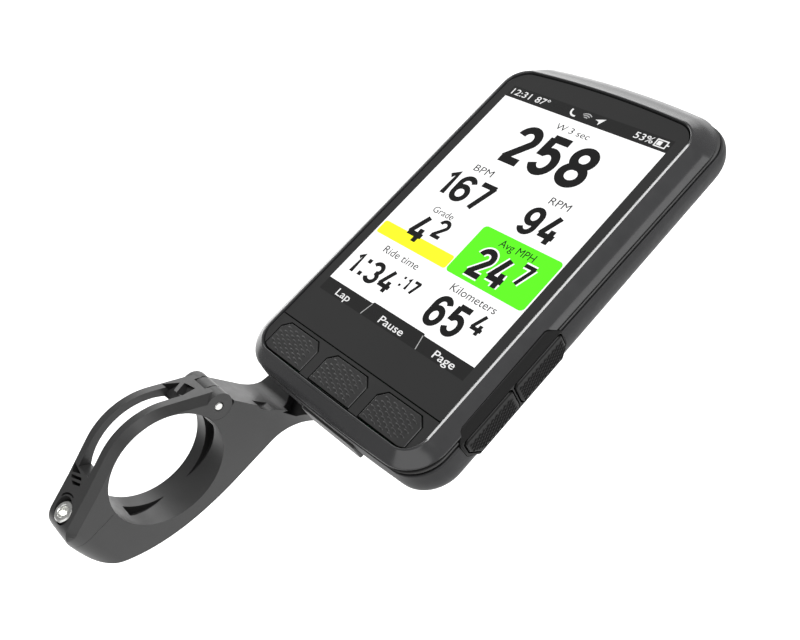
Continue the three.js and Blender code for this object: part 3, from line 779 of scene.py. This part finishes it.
def twist_boss():
    body = turned("lock_boss", [
        (11.4, -22.3), (11.4, CASE_BACK + 0.1), (14.0, CASE_BACK + 0.1), (14.0, CASE_BACK + 0.9),
    ], 0, BOSS_Y, DISPLAY, sides=72)
    for middle in (90, 270):
        join(body, sector(0, BOSS_Y, 13.9, middle, LUG_HALF, -22.3, -20.6, DISPLAY))
    cut(body, disc(0, BOSS_Y, 4.2, -23, -21.5, DISPLAY))
    for x in (-6.5, 6.5):
        cut(body, disc(x, BOSS_Y, 1.1, -23, -17, DISPLAY), disc(x, BOSS_Y, 2.2, -23, -20.4, DISPLAY))
    rounded(body, 0.25, 2, 40)
    finished(body, CASE, "computer", ["twist_boss"], 30)


def twist_socket():
    body = turned("lock_ring", [(17.7, -19.5), (17.7, -15.1)], LOCK_X, LOCK_Y, BAR, sides=96)
    cut(body, lock_disc(14.6, -20.5, -16.7, 96), lock_disc(11.9, -20.5, -14, 96))
    for middle in (0, 180):
        cut(body, sector(LOCK_X, LOCK_Y, 14.6, middle, LUG_HALF + 4, -20.5, -14, BAR))
    cut(body, *(lock_disc(0.9, -20.5, -16.7, 48, x) for x in (-LOCK_SCREW, LOCK_SCREW)))
    rounded(body, 0.3, 2, 40)
    finished(body, MOUNT, "arm", ["twist_socket"], 30)


def cross_drive(cx, cy, low, high, reach):
    """Cutter for a cross-shaped drive recess."""
    arm = block(cx - reach, cx + reach, cy - SLOT_HALF, cy + SLOT_HALF, low, high, BAR)
    return join(arm, block(cx - SLOT_HALF, cx + SLOT_HALF, cy - reach, cy + reach, low, high, BAR))


def screw(node, body, shoulder):
    """Screw seen from below, sized by its CAD node; shoulder is the head's share of the length."""
    low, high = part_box(node)
    head = (high.x - low.x) / 2 / MM
    cx, cy = (low.x + high.x) / 2 / MM, (low.y + high.y) / 2 / MM
    face, tip = low.z / MM, high.z / MM
    under = face + (tip - face) * shoulder
    shank = head * 0.48
    profile = [(head - 0.35, face), (head - 0.1, face + 0.12), (head, face + 0.4)]
    profile += [(head, under), (shank, under)]
    for turn in range(int((tip - under) / THREAD)):
        root = under + THREAD / 2 + turn * THREAD
        profile += [(shank * 0.86, root), (shank, root + THREAD / 2)]
    item = turned(f"{node}_turned", profile + [(shank * 0.7, tip)], cx, cy, BAR, sides=32)
    cut(item, cross_drive(cx, cy, face - 0.5, face + 0.6, head * 0.6))
    finished(item, STEEL, body, [node], 30)


def small_screws():
    for index in range(1, 5):
        screw(f"case_screw_{index}", "computer", 0.17)
    for index in (1, 2):
        screw(f"boss_screw_{index}", "computer", 0.28)
        screw(f"socket_screw_{index}", "arm", 0.25)


def vent_plug():
    rim = [(2.3, CASE_BACK + 0.5), (2.3, CASE_BACK + 0.15), (2.1, CASE_BACK + 0.02)]
    body = turned("vent_plug", rim, *VENT, DISPLAY)
    for x, y in arc(*VENT, 1.2, 0, 300, 5):
        cut(body, disc(x, y, 0.25, CASE_BACK - 1, CASE_BACK + 0.25, DISPLAY, sides=12))
    finished(body, SEAL, "computer", ["vent_cap"], 30)


# ---- screen
SCREEN_HALF = 26.8
PAGE_TOP = 36.1
PAGE_LOW = -36.1
STEP = 0.012          # each layer of the page lies this much above the last
OVERLAP = 0.003       # and each stroke of a digit or icon this much above the last
STROKE = 0.18         # digit stroke, of digit height
THINNEST = 0.85
CAPITAL = 0.685       # height of a capital, of letter size
BAR_WEIGHT = 0.006    # how much bolder the bars' words are, of capital height


def bar_sides(a, b):
    """Faces of a four-sided bar between the cross sections that start at points a and b."""
    return [
        (a, a + 2, b + 2, b), (a + 1, b + 1, b + 3, a + 3), (a, b, b + 1, a + 1),
        (a + 2, a + 3, b + 3, b + 2),
    ]


def bar_ends(last):
    return [(0, 1, 3, 2), (last, last + 2, last + 3, last + 1)]


def ribbon(line, width, layer, order=0, closed=False):
    """Points and faces of a flat strip of one width along a line, on a layer of the page."""
    count = len(line)
    points = []
    for index, (x, y) in enumerate(line):
        before = line[index - 1] if closed or index else None
        after = line[(index + 1) % count] if closed or index < count - 1 else None
        sides = []
        for one, other in ((before, (x, y)), ((x, y), after)):
            if one and other:
                dx, dy = other[0] - one[0], other[1] - one[1]
                length = math.hypot(dx, dy)
                sides.append((-dy / length, dx / length))
        nx, ny = (sum(side[axis] for side in sides) / len(sides) for axis in (0, 1))
        reach = width / 2 / max(nx * nx + ny * ny, 0.3)
        for sign in (1, -1):
            for height in (STEP * (layer + 1) + OVERLAP * order, STEP * layer):
                points.append((x + sign * nx * reach, y + sign * ny * reach, height))
    faces = []
    for index in range(count if closed else count - 1):
        faces += bar_sides(4 * index, 4 * ((index + 1) % count))
    if not closed:
        faces += bar_ends(4 * (count - 1))
    return points, faces


def stroke(*points):
    """Line open at both ends."""
    return points, False


def ring(cx, cy, rx, ry):
    """Line closed on itself."""
    return oval(cx, cy, rx, ry, 0, 350, 30), True


# Each digit as strokes in a box one wide and one high.
DIGITS = {
    "1": [stroke((0.02, 0.8), (0.72, 1.0), (0.72, 0.0))],
    "2": [stroke(*oval(0.5, 0.735, 0.5, 0.265, 172, -28), (0.06, 0.03)), stroke((-0.08, 0.0), (1.04, 0.0))],
    "3": [stroke(*oval(0.5, 0.745, 0.46, 0.255, 160, -80)), stroke(*oval(0.5, 0.27, 0.5, 0.27, 82, -160))],
    "4": [
        stroke((0.56, 1.04), (0.02, 0.22)), stroke((-0.06, 0.21), (1.06, 0.21)),
        stroke((0.74, 0.5), (0.74, -0.09)),
    ],
    "5": [
        stroke((0.98, 1.0), (0.02, 1.0)), stroke((0.1, 1.0), (0.05, 0.44)),
        stroke(*oval(0.5, 0.32, 0.5, 0.32, 138, -158)),
    ],
    "6": [stroke(*oval(0.5, 0.7, 0.5, 0.3, 25, 180), (0.0, 0.3)), ring(0.5, 0.3, 0.5, 0.3)],
    "7": [stroke((-0.08, 1.0), (1.08, 1.0)), stroke((0.98, 1.02), (0.34, -0.09))],
    "8": [ring(0.5, 0.755, 0.44, 0.245), ring(0.5, 0.26, 0.5, 0.26)],
    "9": [stroke(*oval(0.5, 0.3, 0.5, 0.3, -155, 0), (1.0, 0.7)), ring(0.5, 0.7, 0.5, 0.3)],
}


def digit(symbol, left, right, base, top, layer, halo):
    """Strokes of one digit in its box; halo widens them."""
    thick = max(STROKE * (top - base), THINNEST)
    wide, high = right - left - thick, top - base - thick
    shapes = []
    for order, (line, closed) in enumerate(DIGITS[symbol]):
        placed = [(left + thick / 2 + u * wide, base + thick / 2 + v * high) for u, v in line]
        shapes.append(ribbon(placed, thick + 2 * halo, layer, order, closed))
    return shapes


def colon(left, base, top, layer):
    size, inset = STROKE * (top - base), 0.2 * (top - base)
    return [ribbon([(left, y), (left + size, y)], size, layer) for y in (base + inset, top - inset)]


def on_page(item, material):
    finished(item, material, "computer")


def row(symbols, base, top, *sides):
    """Parts of a number that stand on one line, each between its own left and right side."""
    return [(symbol, left, right, base, top) for symbol, (left, right) in zip(symbols, sides)]


def number(name, parts, material, layer, halo=0.0):
    """One piece from several digits; each part is a symbol with its left, right, base and top."""
    shapes = []
    for symbol, left, right, base, top in parts:
        if symbol == ":":
            shapes += colon(left, base, top, layer)
        else:
            shapes += digit(symbol, left, right, base, top, layer, halo)
    on_page(solid(name, *gather(shapes), DISPLAY), material)


def panel(name, x0, x1, y0, y1, material, layer, radius=0.0):
    """Flat tile of the page."""
    shape = [(x0, y0), (x1, y0), (x1, y1), (x0, y1)]
    if radius:
        middle = (x0 + x1) / 2
        shape = [(middle + x, y) for x, y in outline((x1 - x0) / 2, y0, y1, radius, 0, 0)]
    on_page(prism(name, shape, STEP * (layer - 0.9), STEP * layer, DISPLAY), material)


def label(name, text, left, right, base, cap, material, layer, heavy=0.0):
    """Words of the page, fitted between two sides; cap is the height of a capital."""
    curve = bpy.data.curves.new(name, "FONT")
    curve.body = text
    curve.size = cap / CAPITAL
    curve.resolution_u = 4
    curve.offset = heavy * cap
    curve.extrude = STEP / 2
    font = bpy.data.objects.new(name, curve)
    bpy.context.scene.collection.objects.link(font)
    bpy.context.view_layer.update()
    mesh = bpy.data.meshes.new_from_object(font.evaluated_get(bpy.context.evaluated_depsgraph_get()))
    bpy.data.objects.remove(font)
    across = [vertex.co.x for vertex in mesh.vertices]
    low = min(across)
    squeeze = (right - left) / (max(across) - low)
    for vertex in mesh.vertices:
        x, y, z = vertex.co
        vertex.co = DISPLAY + Vector((left + (x - low) * squeeze, base + y, STEP * (layer + 0.5) + z)) * MM
    item = bpy.data.objects.new(name, mesh)
    bpy.context.scene.collection.objects.link(item)
    on_page(item, material)


def strokes(name, lines, width, material, layer):
    """Icon made of open or closed lines."""
    shapes = [ribbon(line, width, layer, order, closed) for order, (line, closed) in enumerate(lines)]
    on_page(solid(name, *gather(shapes), DISPLAY), material)


def status_bar():
    panel("status_bar", -SCREEN_HALF, SCREEN_HALF, PAGE_TOP, 40.3, BAR_DARK, 1)
    words = (
        ("clock", "12:31", -25.9, -19.2), ("heat", "87\u00b0", -17.2, -12.6), ("charge", "53%", 16.0, 21.7),
    )
    for name, text, left, right in words:
        label(f"status_{name}", text, left, right, 37.3, 2.1, LETTERS, 1, BAR_WEIGHT)
    strokes("status_phone", [stroke(*arc(-3.3, 38.9, 1.6, 160, 290, 10))], 0.55, LETTERS, 1)
    waves = [stroke(*arc(0.4, 37.4, radius, 45, 135, 10)) for radius in (0.7, 1.35, 2.0)]
    strokes("status_waves", waves, 0.32, GREY_LIGHT, 1)
    arrow = [(3.3, 38.5), (6.1, 39.6), (4.9, 37.0), (4.6, 38.2)]
    on_page(prism("status_arrow", arrow, STEP, 2 * STEP, DISPLAY), LETTERS)
    shell = [(22.4, 37.2), (25.5, 37.2), (25.5, 39.4), (22.4, 39.4)]
    strokes("status_cell", [(shell, True), stroke((25.6, 38.3), (26.3, 38.3))], 0.35, LETTERS, 1)
    panel("status_level", 22.8, 24.1, 37.6, 39.0, LETTERS, 2)


def soft_key_bar():
    panel("key_bar", -SCREEN_HALF, SCREEN_HALF, -40.2, PAGE_LOW, BAR_DARK, 1)
    panel("key_tab", -9.2, 9.9, -38.5, -35.6, BAR_DARK, 2, 0.5)
    slants = [stroke((-9.15, -36.3), (-10.0, -40.1)), stroke((9.64, -36.2), (10.6, -40.1))]
    strokes("key_slants", slants, 0.25, GREY_LIGHT, 2)
    words = (("left", "Lap", -21.1, -15.9), ("centre", "Pause", -4.0, 4.6), ("right", "Page", 15.6, 22.6))
    for name, text, left, right in words:
        label(f"key_word_{name}", text, left, right, -39.5, 2.15, LETTERS, 2, BAR_WEIGHT)


def data_page():
    panel("page", -SCREEN_HALF, SCREEN_HALF, PAGE_LOW, PAGE_TOP, WHITE, 1)
    label("word_power", "W 3 sec", -5.1, 6.0, 31.6, 2.0, GREY, 1)
    number("number_power", row("258", 16.0, 29.9, (-13.1, -5.2), (-4.1, 4.2), (5.3, 14.0)), BLACK, 1)
    label("word_heart", "BPM", -16.1, -9.6, 10.2, 2.2, GREY, 1)
    number("number_heart", row("167", -0.7, 8.4, (-21.3, -17.2), (-16.8, -10.9), (-10.3, -4.5)), BLACK, 1)
    label("word_cadence", "RPM", 10.3, 16.7, 10.2, 2.2, GREY, 1)
    number("number_cadence", row("94", -0.7, 8.4, (7.6, 13.0), (13.8, 19.6)), BLACK, 1)
    label("word_grade", "Grade", -16.5, -9.2, -6.0, 2.0, GREY, 1)
    panel("tile_grade", -26.3, 0.15, -18.6, -14.3, YELLOW, 2, 0.8)
    number("number_grade", [("4", -18.3, -12.2, -16.4, -7.4), ("2", -11.5, -7.6, -12.6, -6.3)], BLACK, 2)
    panel("tile_speed", 0.4, 26.4, -18.7, -2.7, GREEN, 2, 1.3)
    label("word_speed", "Avg MPH", 7.8, 19.1, -6.3, 2.2, BLACK, 2)
    speed = row("24", -17.1, -7.8, (5.1, 10.7), (11.1, 17.1)) + [("7", 17.8, 21.9, -13.4, -7.1)]
    number("halo_speed", speed, WHITE, 3, 0.45)
    number("number_speed", speed, BLACK, 4)
    label("word_time", "Ride time", -19.4, -6.4, -22.7, 2.2, GREY, 1)
    minutes = row("1:34", -32.5, -25.4, (-24.6, -21.8), (-20.6, -19.4), (-18.5, -13.8), (-13.3, -8.3))
    seconds = row(":17", -29.1, -25.0, (-7.4, -6.7), (-5.9, -4.3), (-3.9, -1.3))
    number("number_time", minutes + seconds, BLACK, 1)
    label("word_distance", "Kilometers", 5.8, 20.9, -22.7, 2.2, GREY, 1)
    distance = row("65", -33.6, -24.2, (5.1, 10.6), (11.2, 16.8)) + [("4", 17.8, 22.0, -29.6, -23.6)]
    number("number_distance", distance, BLACK, 1)


# ---- mount: arm
ROOT = (CLAMP_HALF + FLARE_RADIUS, 23.0)
FLARE = math.atan2(LOCK_Y - ROOT[1], LOCK_X - ROOT[0]) - math.asin(
    (FLARE_RADIUS + PLATFORM) / math.hypot(LOCK_X - ROOT[0], LOCK_Y - ROOT[1])
)


def clamp_rear():
    corner, rear = 5.0, -24.0
    right = CLAMP_HALF - corner
    return arc(-right, rear, corner, 180, 270, 12) + arc(right, rear, corner, 270, 360, 12)


def arm_plan():
    angle = math.degrees(FLARE)
    shape = clamp_rear() + [(CLAMP_HALF, ROOT[1])]
    shape += arc(*ROOT, FLARE_RADIUS, 180, angle + 90, 16)[1:]
    shape += arc(LOCK_X, LOCK_Y, PLATFORM, angle - 90, 155, 64)
    shape.append((-2.4, 45.1))
    return shape + bend((-2.4, 45.1), (-CLAMP_HALF, 36), (-CLAMP_HALF, 26), 12)


def arm_profile():
    low = PARTING_Z - 0.08
    ahead = LOCK_Y + PLATFORM + 5
    shape = [(-12, low), (-28.6, low), (-28.9, -1)]
    shape += bend(shape[-1], (-28.4, -7.4), (-24.6, -10.9))
    shape += bend(shape[-1], (-18.6, -16.2), (-9.2, -18.9), 12)
    shape += bend(shape[-1], (-0.6, ARM_BASE), (9.5, ARM_BASE), 12)
    shape += [(ahead, ARM_BASE), (ahead, ARM_TOP), (33.4, ARM_TOP)]
    shape += bend(shape[-1], (30.6, -14.6), (28.2, -9.8), 12)
    return shape + [(23.2, 0.8), (14, low)]


def edge_slope():
    """Cutter that lowers the arm's top along its right edge, following the flare."""
    back = 6.5
    start = (
        ROOT[0] - FLARE_RADIUS * math.sin(FLARE) - back * math.cos(FLARE),
        ROOT[1] + FLARE_RADIUS * math.cos(FLARE) - back * math.sin(FLARE),
    )
    low, high = ARM_TOP - 2.6, ARM_TOP + 1
    item = prism("slope", [(low, 0.6), (low, -8), (high, -8), (high, 1.4)], 0, 22, BAR, "y")
    item.data.transform(Matrix.Rotation(FLARE - math.pi / 2, 4, "Z"))
    item.data.transform(Matrix.Translation((start[0] * MM, start[1] * MM, 0)))
    return item


def relief(start, end, wide, narrow, half_wide, half_narrow, depth):
    """Tapered pocket in the bore's wall, from one angle to another in degrees."""
    steps = 14
    points = []
    for step in range(steps + 1):
        t = step / steps
        angle = math.radians(start + (end - start) * t)
        outer = BAR_RADIUS + depth * (1 - t) ** 0.7 + 0.02
        half = half_wide + (half_narrow - half_wide) * t
        shift = wide + (narrow - wide) * t
        for radius in (BAR_RADIUS - 1.5, outer):
            for side in (-half, half):
                points.append((shift + side, radius * math.cos(angle), radius * math.sin(angle)))
    faces = bar_ends(4 * steps)
    for step in range(steps):
        faces += bar_sides(4 * step, 4 * step + 4)
    return solid("relief", points, faces, BAR)


def ear_room(body):
    """Clearance for the strap's two ears, wider over their upper front."""
    for start, end in ((TONGUE_HALF, 20), (-20, -TONGUE_HALF)):
        cut(body, pin_disc(EAR_RADIUS + 0.06, start, end, 64))
        upper_front = block(start, end, PIN_Y, 30, PIN_Z - 3.0, 12, BAR)
        cut(body, common(pin_disc(EAR_RADIUS + 0.6, start, end, 64), upper_front))


def scoop():
    """Shallow half-round scoop in the arm's right edge behind the platform."""
    return disc(31.3, -7.7, 4.5, 4.2, 9.0, BAR, "x", 64)


def ring_groove(radius):
    """Shallow round groove in the platform's underside."""
    ring = lock_disc(radius + 0.4, ARM_BASE - 1, ARM_BASE + 0.3, 72)
    return cut(ring, lock_disc(radius - 0.4, ARM_BASE - 2, ARM_BASE + 1, 72))


def mount_arm():
    body = prism("arm_body", arm_profile(), -60, 70, BAR, "x")
    common(body, prism("plan", arm_plan(), -40, 40, BAR))
    join(body, pin_disc(EAR_RADIUS, -TONGUE_HALF, TONGUE_HALF))
    cup = [(18.2, ARM_TOP + 1), (18.2, ARM_TOP - 0.2), (18.0, ARM_TOP - 0.5), (18.0, -19.8)]
    cut(body, edge_slope(), turned("cup", cup, LOCK_X, LOCK_Y, BAR, sides=96))
    cut(body, disc(0, 0, BAR_RADIUS, -20, 20, BAR, "x", 120), scoop())
    rounded(body, 0.3, 3, 36)
    ear_room(body)
    cut(body, relief(-14, -87, 0.45, -2.25, 2.75, 0.1, 3.2))
    cut(body, relief(201, 245, 0.35, -1.85, 2.25, 0.1, 3.0))
    cut(body, pin_disc(PIN_RADIUS + 0.1, -10, 10, 24), bolt_disc(2.2, -7, 10), bolt_disc(3.4, -4.6, 1.9, 6))
    seat = [(2.3, ARM_BASE - 0.5), (1.95, ARM_BASE), (1.8, ARM_BASE + 0.15), (1.8, ARM_BASE + 1.1)]
    for x in (-LOCK_SCREW, LOCK_SCREW):
        cut(body, lock_disc(0.9, -25, -19, 24, x), turned("seat", seat, LOCK_X + x, LOCK_Y, BAR, sides=32))
    cut(body, ring_groove(8.0), ring_groove(12.5))
    centre = [(5.2, ARM_BASE - 1), (5.0, ARM_BASE), (4.8, ARM_BASE + 0.2), (4.8, ARM_BASE + 0.7)]
    cut(body, turned("centre", centre, LOCK_X, LOCK_Y, BAR, sides=48))
    finished(body, MOUNT, "arm", ["mount_arm"], 28)


# ---- mount: strap, pin, bolt
def strap_profile(inset):
    """Side outline of the strap, pulled in by an inset."""
    shape = [(22.3 - inset * 0.75, 5.3 - inset)]
    shape += arc(0, 0, STRAP_RADIUS - inset, 52, 114, 28)
    shape += [(-16.5 + 0.36 * inset, 12.4 - 0.93 * inset), (-24.4 + 0.36 * inset, 9.3 - 0.93 * inset)]
    shape += bend(shape[-1], (-28.3 + inset, 7.9 - inset * 0.9), (-28.6 + inset, PARTING_Z), 10)
    return shape + [(-28.6 + inset, -8), (24 - inset, -8)]


def strap_block():
    """The strap's side outline carried across, pulled in along both edges."""
    levels = [
        (-CLAMP_HALF, STRAP_BEVEL), (-CLAMP_HALF + STRAP_BEVEL, 0.0), (CLAMP_HALF - STRAP_BEVEL, 0.0),
        (CLAMP_HALF, STRAP_BEVEL),
    ]
    points = []
    for x, inset in levels:
        points += [(x, y, z) for y, z in strap_profile(inset)]
    rows = len(levels)
    count = len(points) // rows
    return solid("strap_body", points, caps(rows, count) + walls(rows, count), BAR)


def window_cut():
    shape = [(0.0, 0.0)] + arc(0, 0, 30, 36, 134, 40)
    return prism("window", shape, -2.6, 2.6, BAR, "x")


# Plan outlines of the lightening pockets beyond both ends of the window, with the height of each floor.
POCKETS = [
    ([(-4.4, 14.2), (0.3, 14.3), (-2.9, 17.5)], 8.6),
    ([(1.2, 14.6), (2.6, 15.6), (1.3, 19.0), (-2.2, 18.2)], 7.1),
    ([(-4.6, -13.3), (-0.5, -14.1), (-3.9, -15.3)], 9.2),
    ([(-3.7, -15.8), (0.3, -14.6), (0.9, -15.1), (-3.2, -16.4)], 8.6),
    ([(-2.6, -16.8), (1.1, -15.7), (1.2, -16.3), (-1.5, -17.3)], 8.2),
]


def pockets(body):
    cut(body, *(prism("pocket", shape, floor, 20, BAR) for shape, floor in POCKETS))
    crescent = cut(disc(0.2, BOLT_Y, 4.3, 9.6, 20, BAR), disc(0.4, BOLT_Y, 3.9, 9, 21, BAR))
    cut(body, common(crescent, block(-3.2, 1.2, BOLT_Y + 2, BOLT_Y + 6, 9, 21, BAR)))


def clamp_strap():
    body = strap_block()
    common(body, prism("plan", clamp_rear() + [(CLAMP_HALF, 30), (-CLAMP_HALF, 30)], -40, 40, BAR))
    cut(body, block(-20, 20, -60, 60, -40, PARTING_Z, BAR), disc(0, 0, BAR_RADIUS, -20, 20, BAR, "x", 120))
    cut(body, pin_disc(EAR_RADIUS + 0.4, -TONGUE_HALF - GAP, TONGUE_HALF + GAP), window_cut())
    pockets(body)
    rounded(body, 0.2, 3, 36)
    join(body, pin_disc(EAR_RADIUS, TONGUE_HALF + GAP, CLAMP_HALF - 0.01, 64))
    far_ear = pin_disc(EAR_RADIUS, 0.01 - CLAMP_HALF, -TONGUE_HALF - GAP, 64)
    join(body, rounded(far_ear, 0.8, 3))
    cut(body, pin_disc(PIN_RADIUS + 0.1, -10, 10, 24), bolt_disc(1.8, 0, 20))
    seat = [(3.5, 13.0), (3.3, 9.0), (3.2, 8.0), (3.2, 6.2)]
    cut(body, turned("seat", seat, 0, BOLT_Y, BAR, sides=48))
    finished(body, MOUNT, "strap", ["clamp_strap"], 28)


def hinge_pin():
    side = CLAMP_HALF - 0.25
    profile = [(0.9, -CLAMP_HALF), (PIN_RADIUS, -side), (PIN_RADIUS, side), (0.9, CLAMP_HALF)]
    body = turned("pivot_pin", profile, PIN_Y, PIN_Z, BAR, "x", 32)
    finished(body, STEEL, "strap", ["hinge_pin"], 30)


def clamp_bolt():
    under = BOLT_TOP - 2.8
    profile = [(1.1, -3.4), (1.5, -3.0)]
    for turn in range(16):
        profile += [(1.5, -2.9 + THREAD * turn), (1.28, -2.65 + THREAD * turn)]
    profile += [
        (1.5, under - 1.6), (1.5, under), (2.75, under), (2.75, BOLT_TOP - 0.35), (2.45, BOLT_TOP),
        (1.75, BOLT_TOP), (1.6, BOLT_TOP - 0.15),
    ]
    body = turned("bolt_body", profile, 0, BOLT_Y, BAR, sides=48)
    cut(body, bolt_disc(1.45, BOLT_TOP - 1.7, BOLT_TOP + 1, 6))
    finished(body, STEEL, "bolt", ["clamp_bolt"], 25)


def bolt_washer():
    top = BOLT_TOP - 2.9
    rim = [(2.7, top - 0.3), (2.9, top - 0.2), (2.9, top - 0.05), (2.8, top)]
    body = turned("washer_ring", rim, 0, BOLT_Y, BAR, sides=48)
    cut(body, bolt_disc(1.65, 0, 10))
    finished(body, STEEL, "washer", ["bolt_washer"], 25)


def threaded_insert():
    body = turned("insert_nut", [(3.0, -4.3), (3.1, -4.1), (3.1, 1.4), (3.0, 1.6)], 0, BOLT_Y, BAR, sides=6)
    cut(body, bolt_disc(2.2, -6, 3))
    finished(body, BRASS, "arm", ["threaded_insert"], 25)


# ---- inner CAD parts keep their shapes
SWITCHES = [f"front_switch_{name}" for name in FRONT_KEYS] + [f"side_switch_{name}" for name in SIDE_KEYS]
INNER = {
    "display_panel": DISPLAY_FINISH, "mid_frame": CASE, "main_board": BOARD, "battery": CELL,
    "gnss_antenna": CERAMIC, "buzzer": CASE,
    **dict.fromkeys(["shield_can", "pressure_sensor", "usb_connector", *SWITCHES, "power_switch"], SHIELD),
}


def carried_over():
    for node, material in INNER.items():
        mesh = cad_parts[node].data
        mesh.materials.clear()
        mesh.materials.append(material)


# ---- run
def build_computer():
    front_bezel()
    cover_glass()
    button_strip()
    for index, name in enumerate(FRONT_KEYS):
        front_key(index, name)
    case_gasket()
    back_case()
    side_surround()
    for name in SIDE_KEYS:
        side_key(name)
    power_key()
    port_flap()
    vent_plug()
    twist_boss()
    small_screws()
    carried_over()


def build_screen():
    data_page()
    status_bar()
    soft_key_bar()


def build_mount():
    mount_arm()
    twist_socket()
    clamp_strap()
    hinge_pin()
    clamp_bolt()
    bolt_washer()
    threaded_insert()


build_computer()
build_screen()
build_mount()

# ---- stage
FLOOR_Z = -0.55


def area_light(name, place, target, size, power):
    data = bpy.data.lights.new(name, "AREA")
    data.shape = "RECTANGLE"
    data.size, data.size_y = size
    data.energy = power
    item = bpy.data.objects.new(name, data)
    item.location = place
    item.rotation_euler = (Vector(target) - Vector(place)).to_track_quat("-Z", "Y").to_euler()
    item.visible_camera = False
    bpy.context.scene.collection.objects.link(item)


def stage():
    reach = 6000
    corners = [(-reach, -reach, 0), (reach, -reach, 0), (reach, reach, 0), (-reach, reach, 0)]
    floor = make("floor", corners, [(0, 1, 2, 3)], Vector((0, 0, FLOOR_Z)))
    material, tree, shader = principled("floor_paper")
    tint(tree, noise(tree, 40.0), (0.93, 0.93, 0.93), (0.95, 0.95, 0.95), shader.inputs["Base Color"])
    shader.inputs["Roughness"].default_value = 0.9
    shader.inputs["Specular IOR Level"].default_value = 0.0
    floor.data.materials.append(material)

    world = bpy.data.worlds.new("studio")
    world.use_nodes = True
    world.node_tree.nodes["Background"].inputs["Color"].default_value = (1, 1, 1, 1)
    world.node_tree.nodes["Background"].inputs["Strength"].default_value = 0.32
    bpy.context.scene.world = world

    sun = bpy.data.lights.new("overhead", "SUN")
    sun.energy = 3.45
    sun.angle = math.radians(34)
    lamp = bpy.data.objects.new("overhead", sun)
    lamp.rotation_euler = Vector((-0.27, -0.36, -0.89)).to_track_quat("-Z", "Y").to_euler()
    bpy.context.scene.collection.objects.link(lamp)
    middle = (0.03, 0.08, 0.0)
    area_light("back_left", (-1.0, 0.84, 0.22), middle, (1.5, 0.72), 7.5)
    area_light("left", (-1.25, 0.1, 0.1), middle, (0.9, 0.6), 5.0)
    area_light("right", (1.2, 0.35, 0.16), middle, (1.2, 0.45), 2.4)
    area_light("rear", (0.45, -1.0, 0.72), middle, (1.8, 1.0), 6.0)


def camera():
    data = bpy.data.cameras.new("camera")
    data.lens = 41.75
    data.sensor_width = 36.0
    data.clip_start = 0.01
    item = bpy.data.objects.new("camera", data)
    right = Vector((0.657657, 0.664214, -0.355397))
    down = Vector((0.416842, -0.713833, -0.562749))
    ahead = Vector((-0.627479, 0.221951, -0.746329))
    matrix = Matrix((right, -down, -ahead)).transposed().to_4x4()
    matrix.translation = Vector((0.17381, 0.01368, 0.17285))
    item.matrix_world = matrix
    bpy.context.scene.collection.objects.link(item)
    bpy.context.scene.camera = item


stage()
camera()
bpy.context.scene.view_settings.view_transform = "Standard"
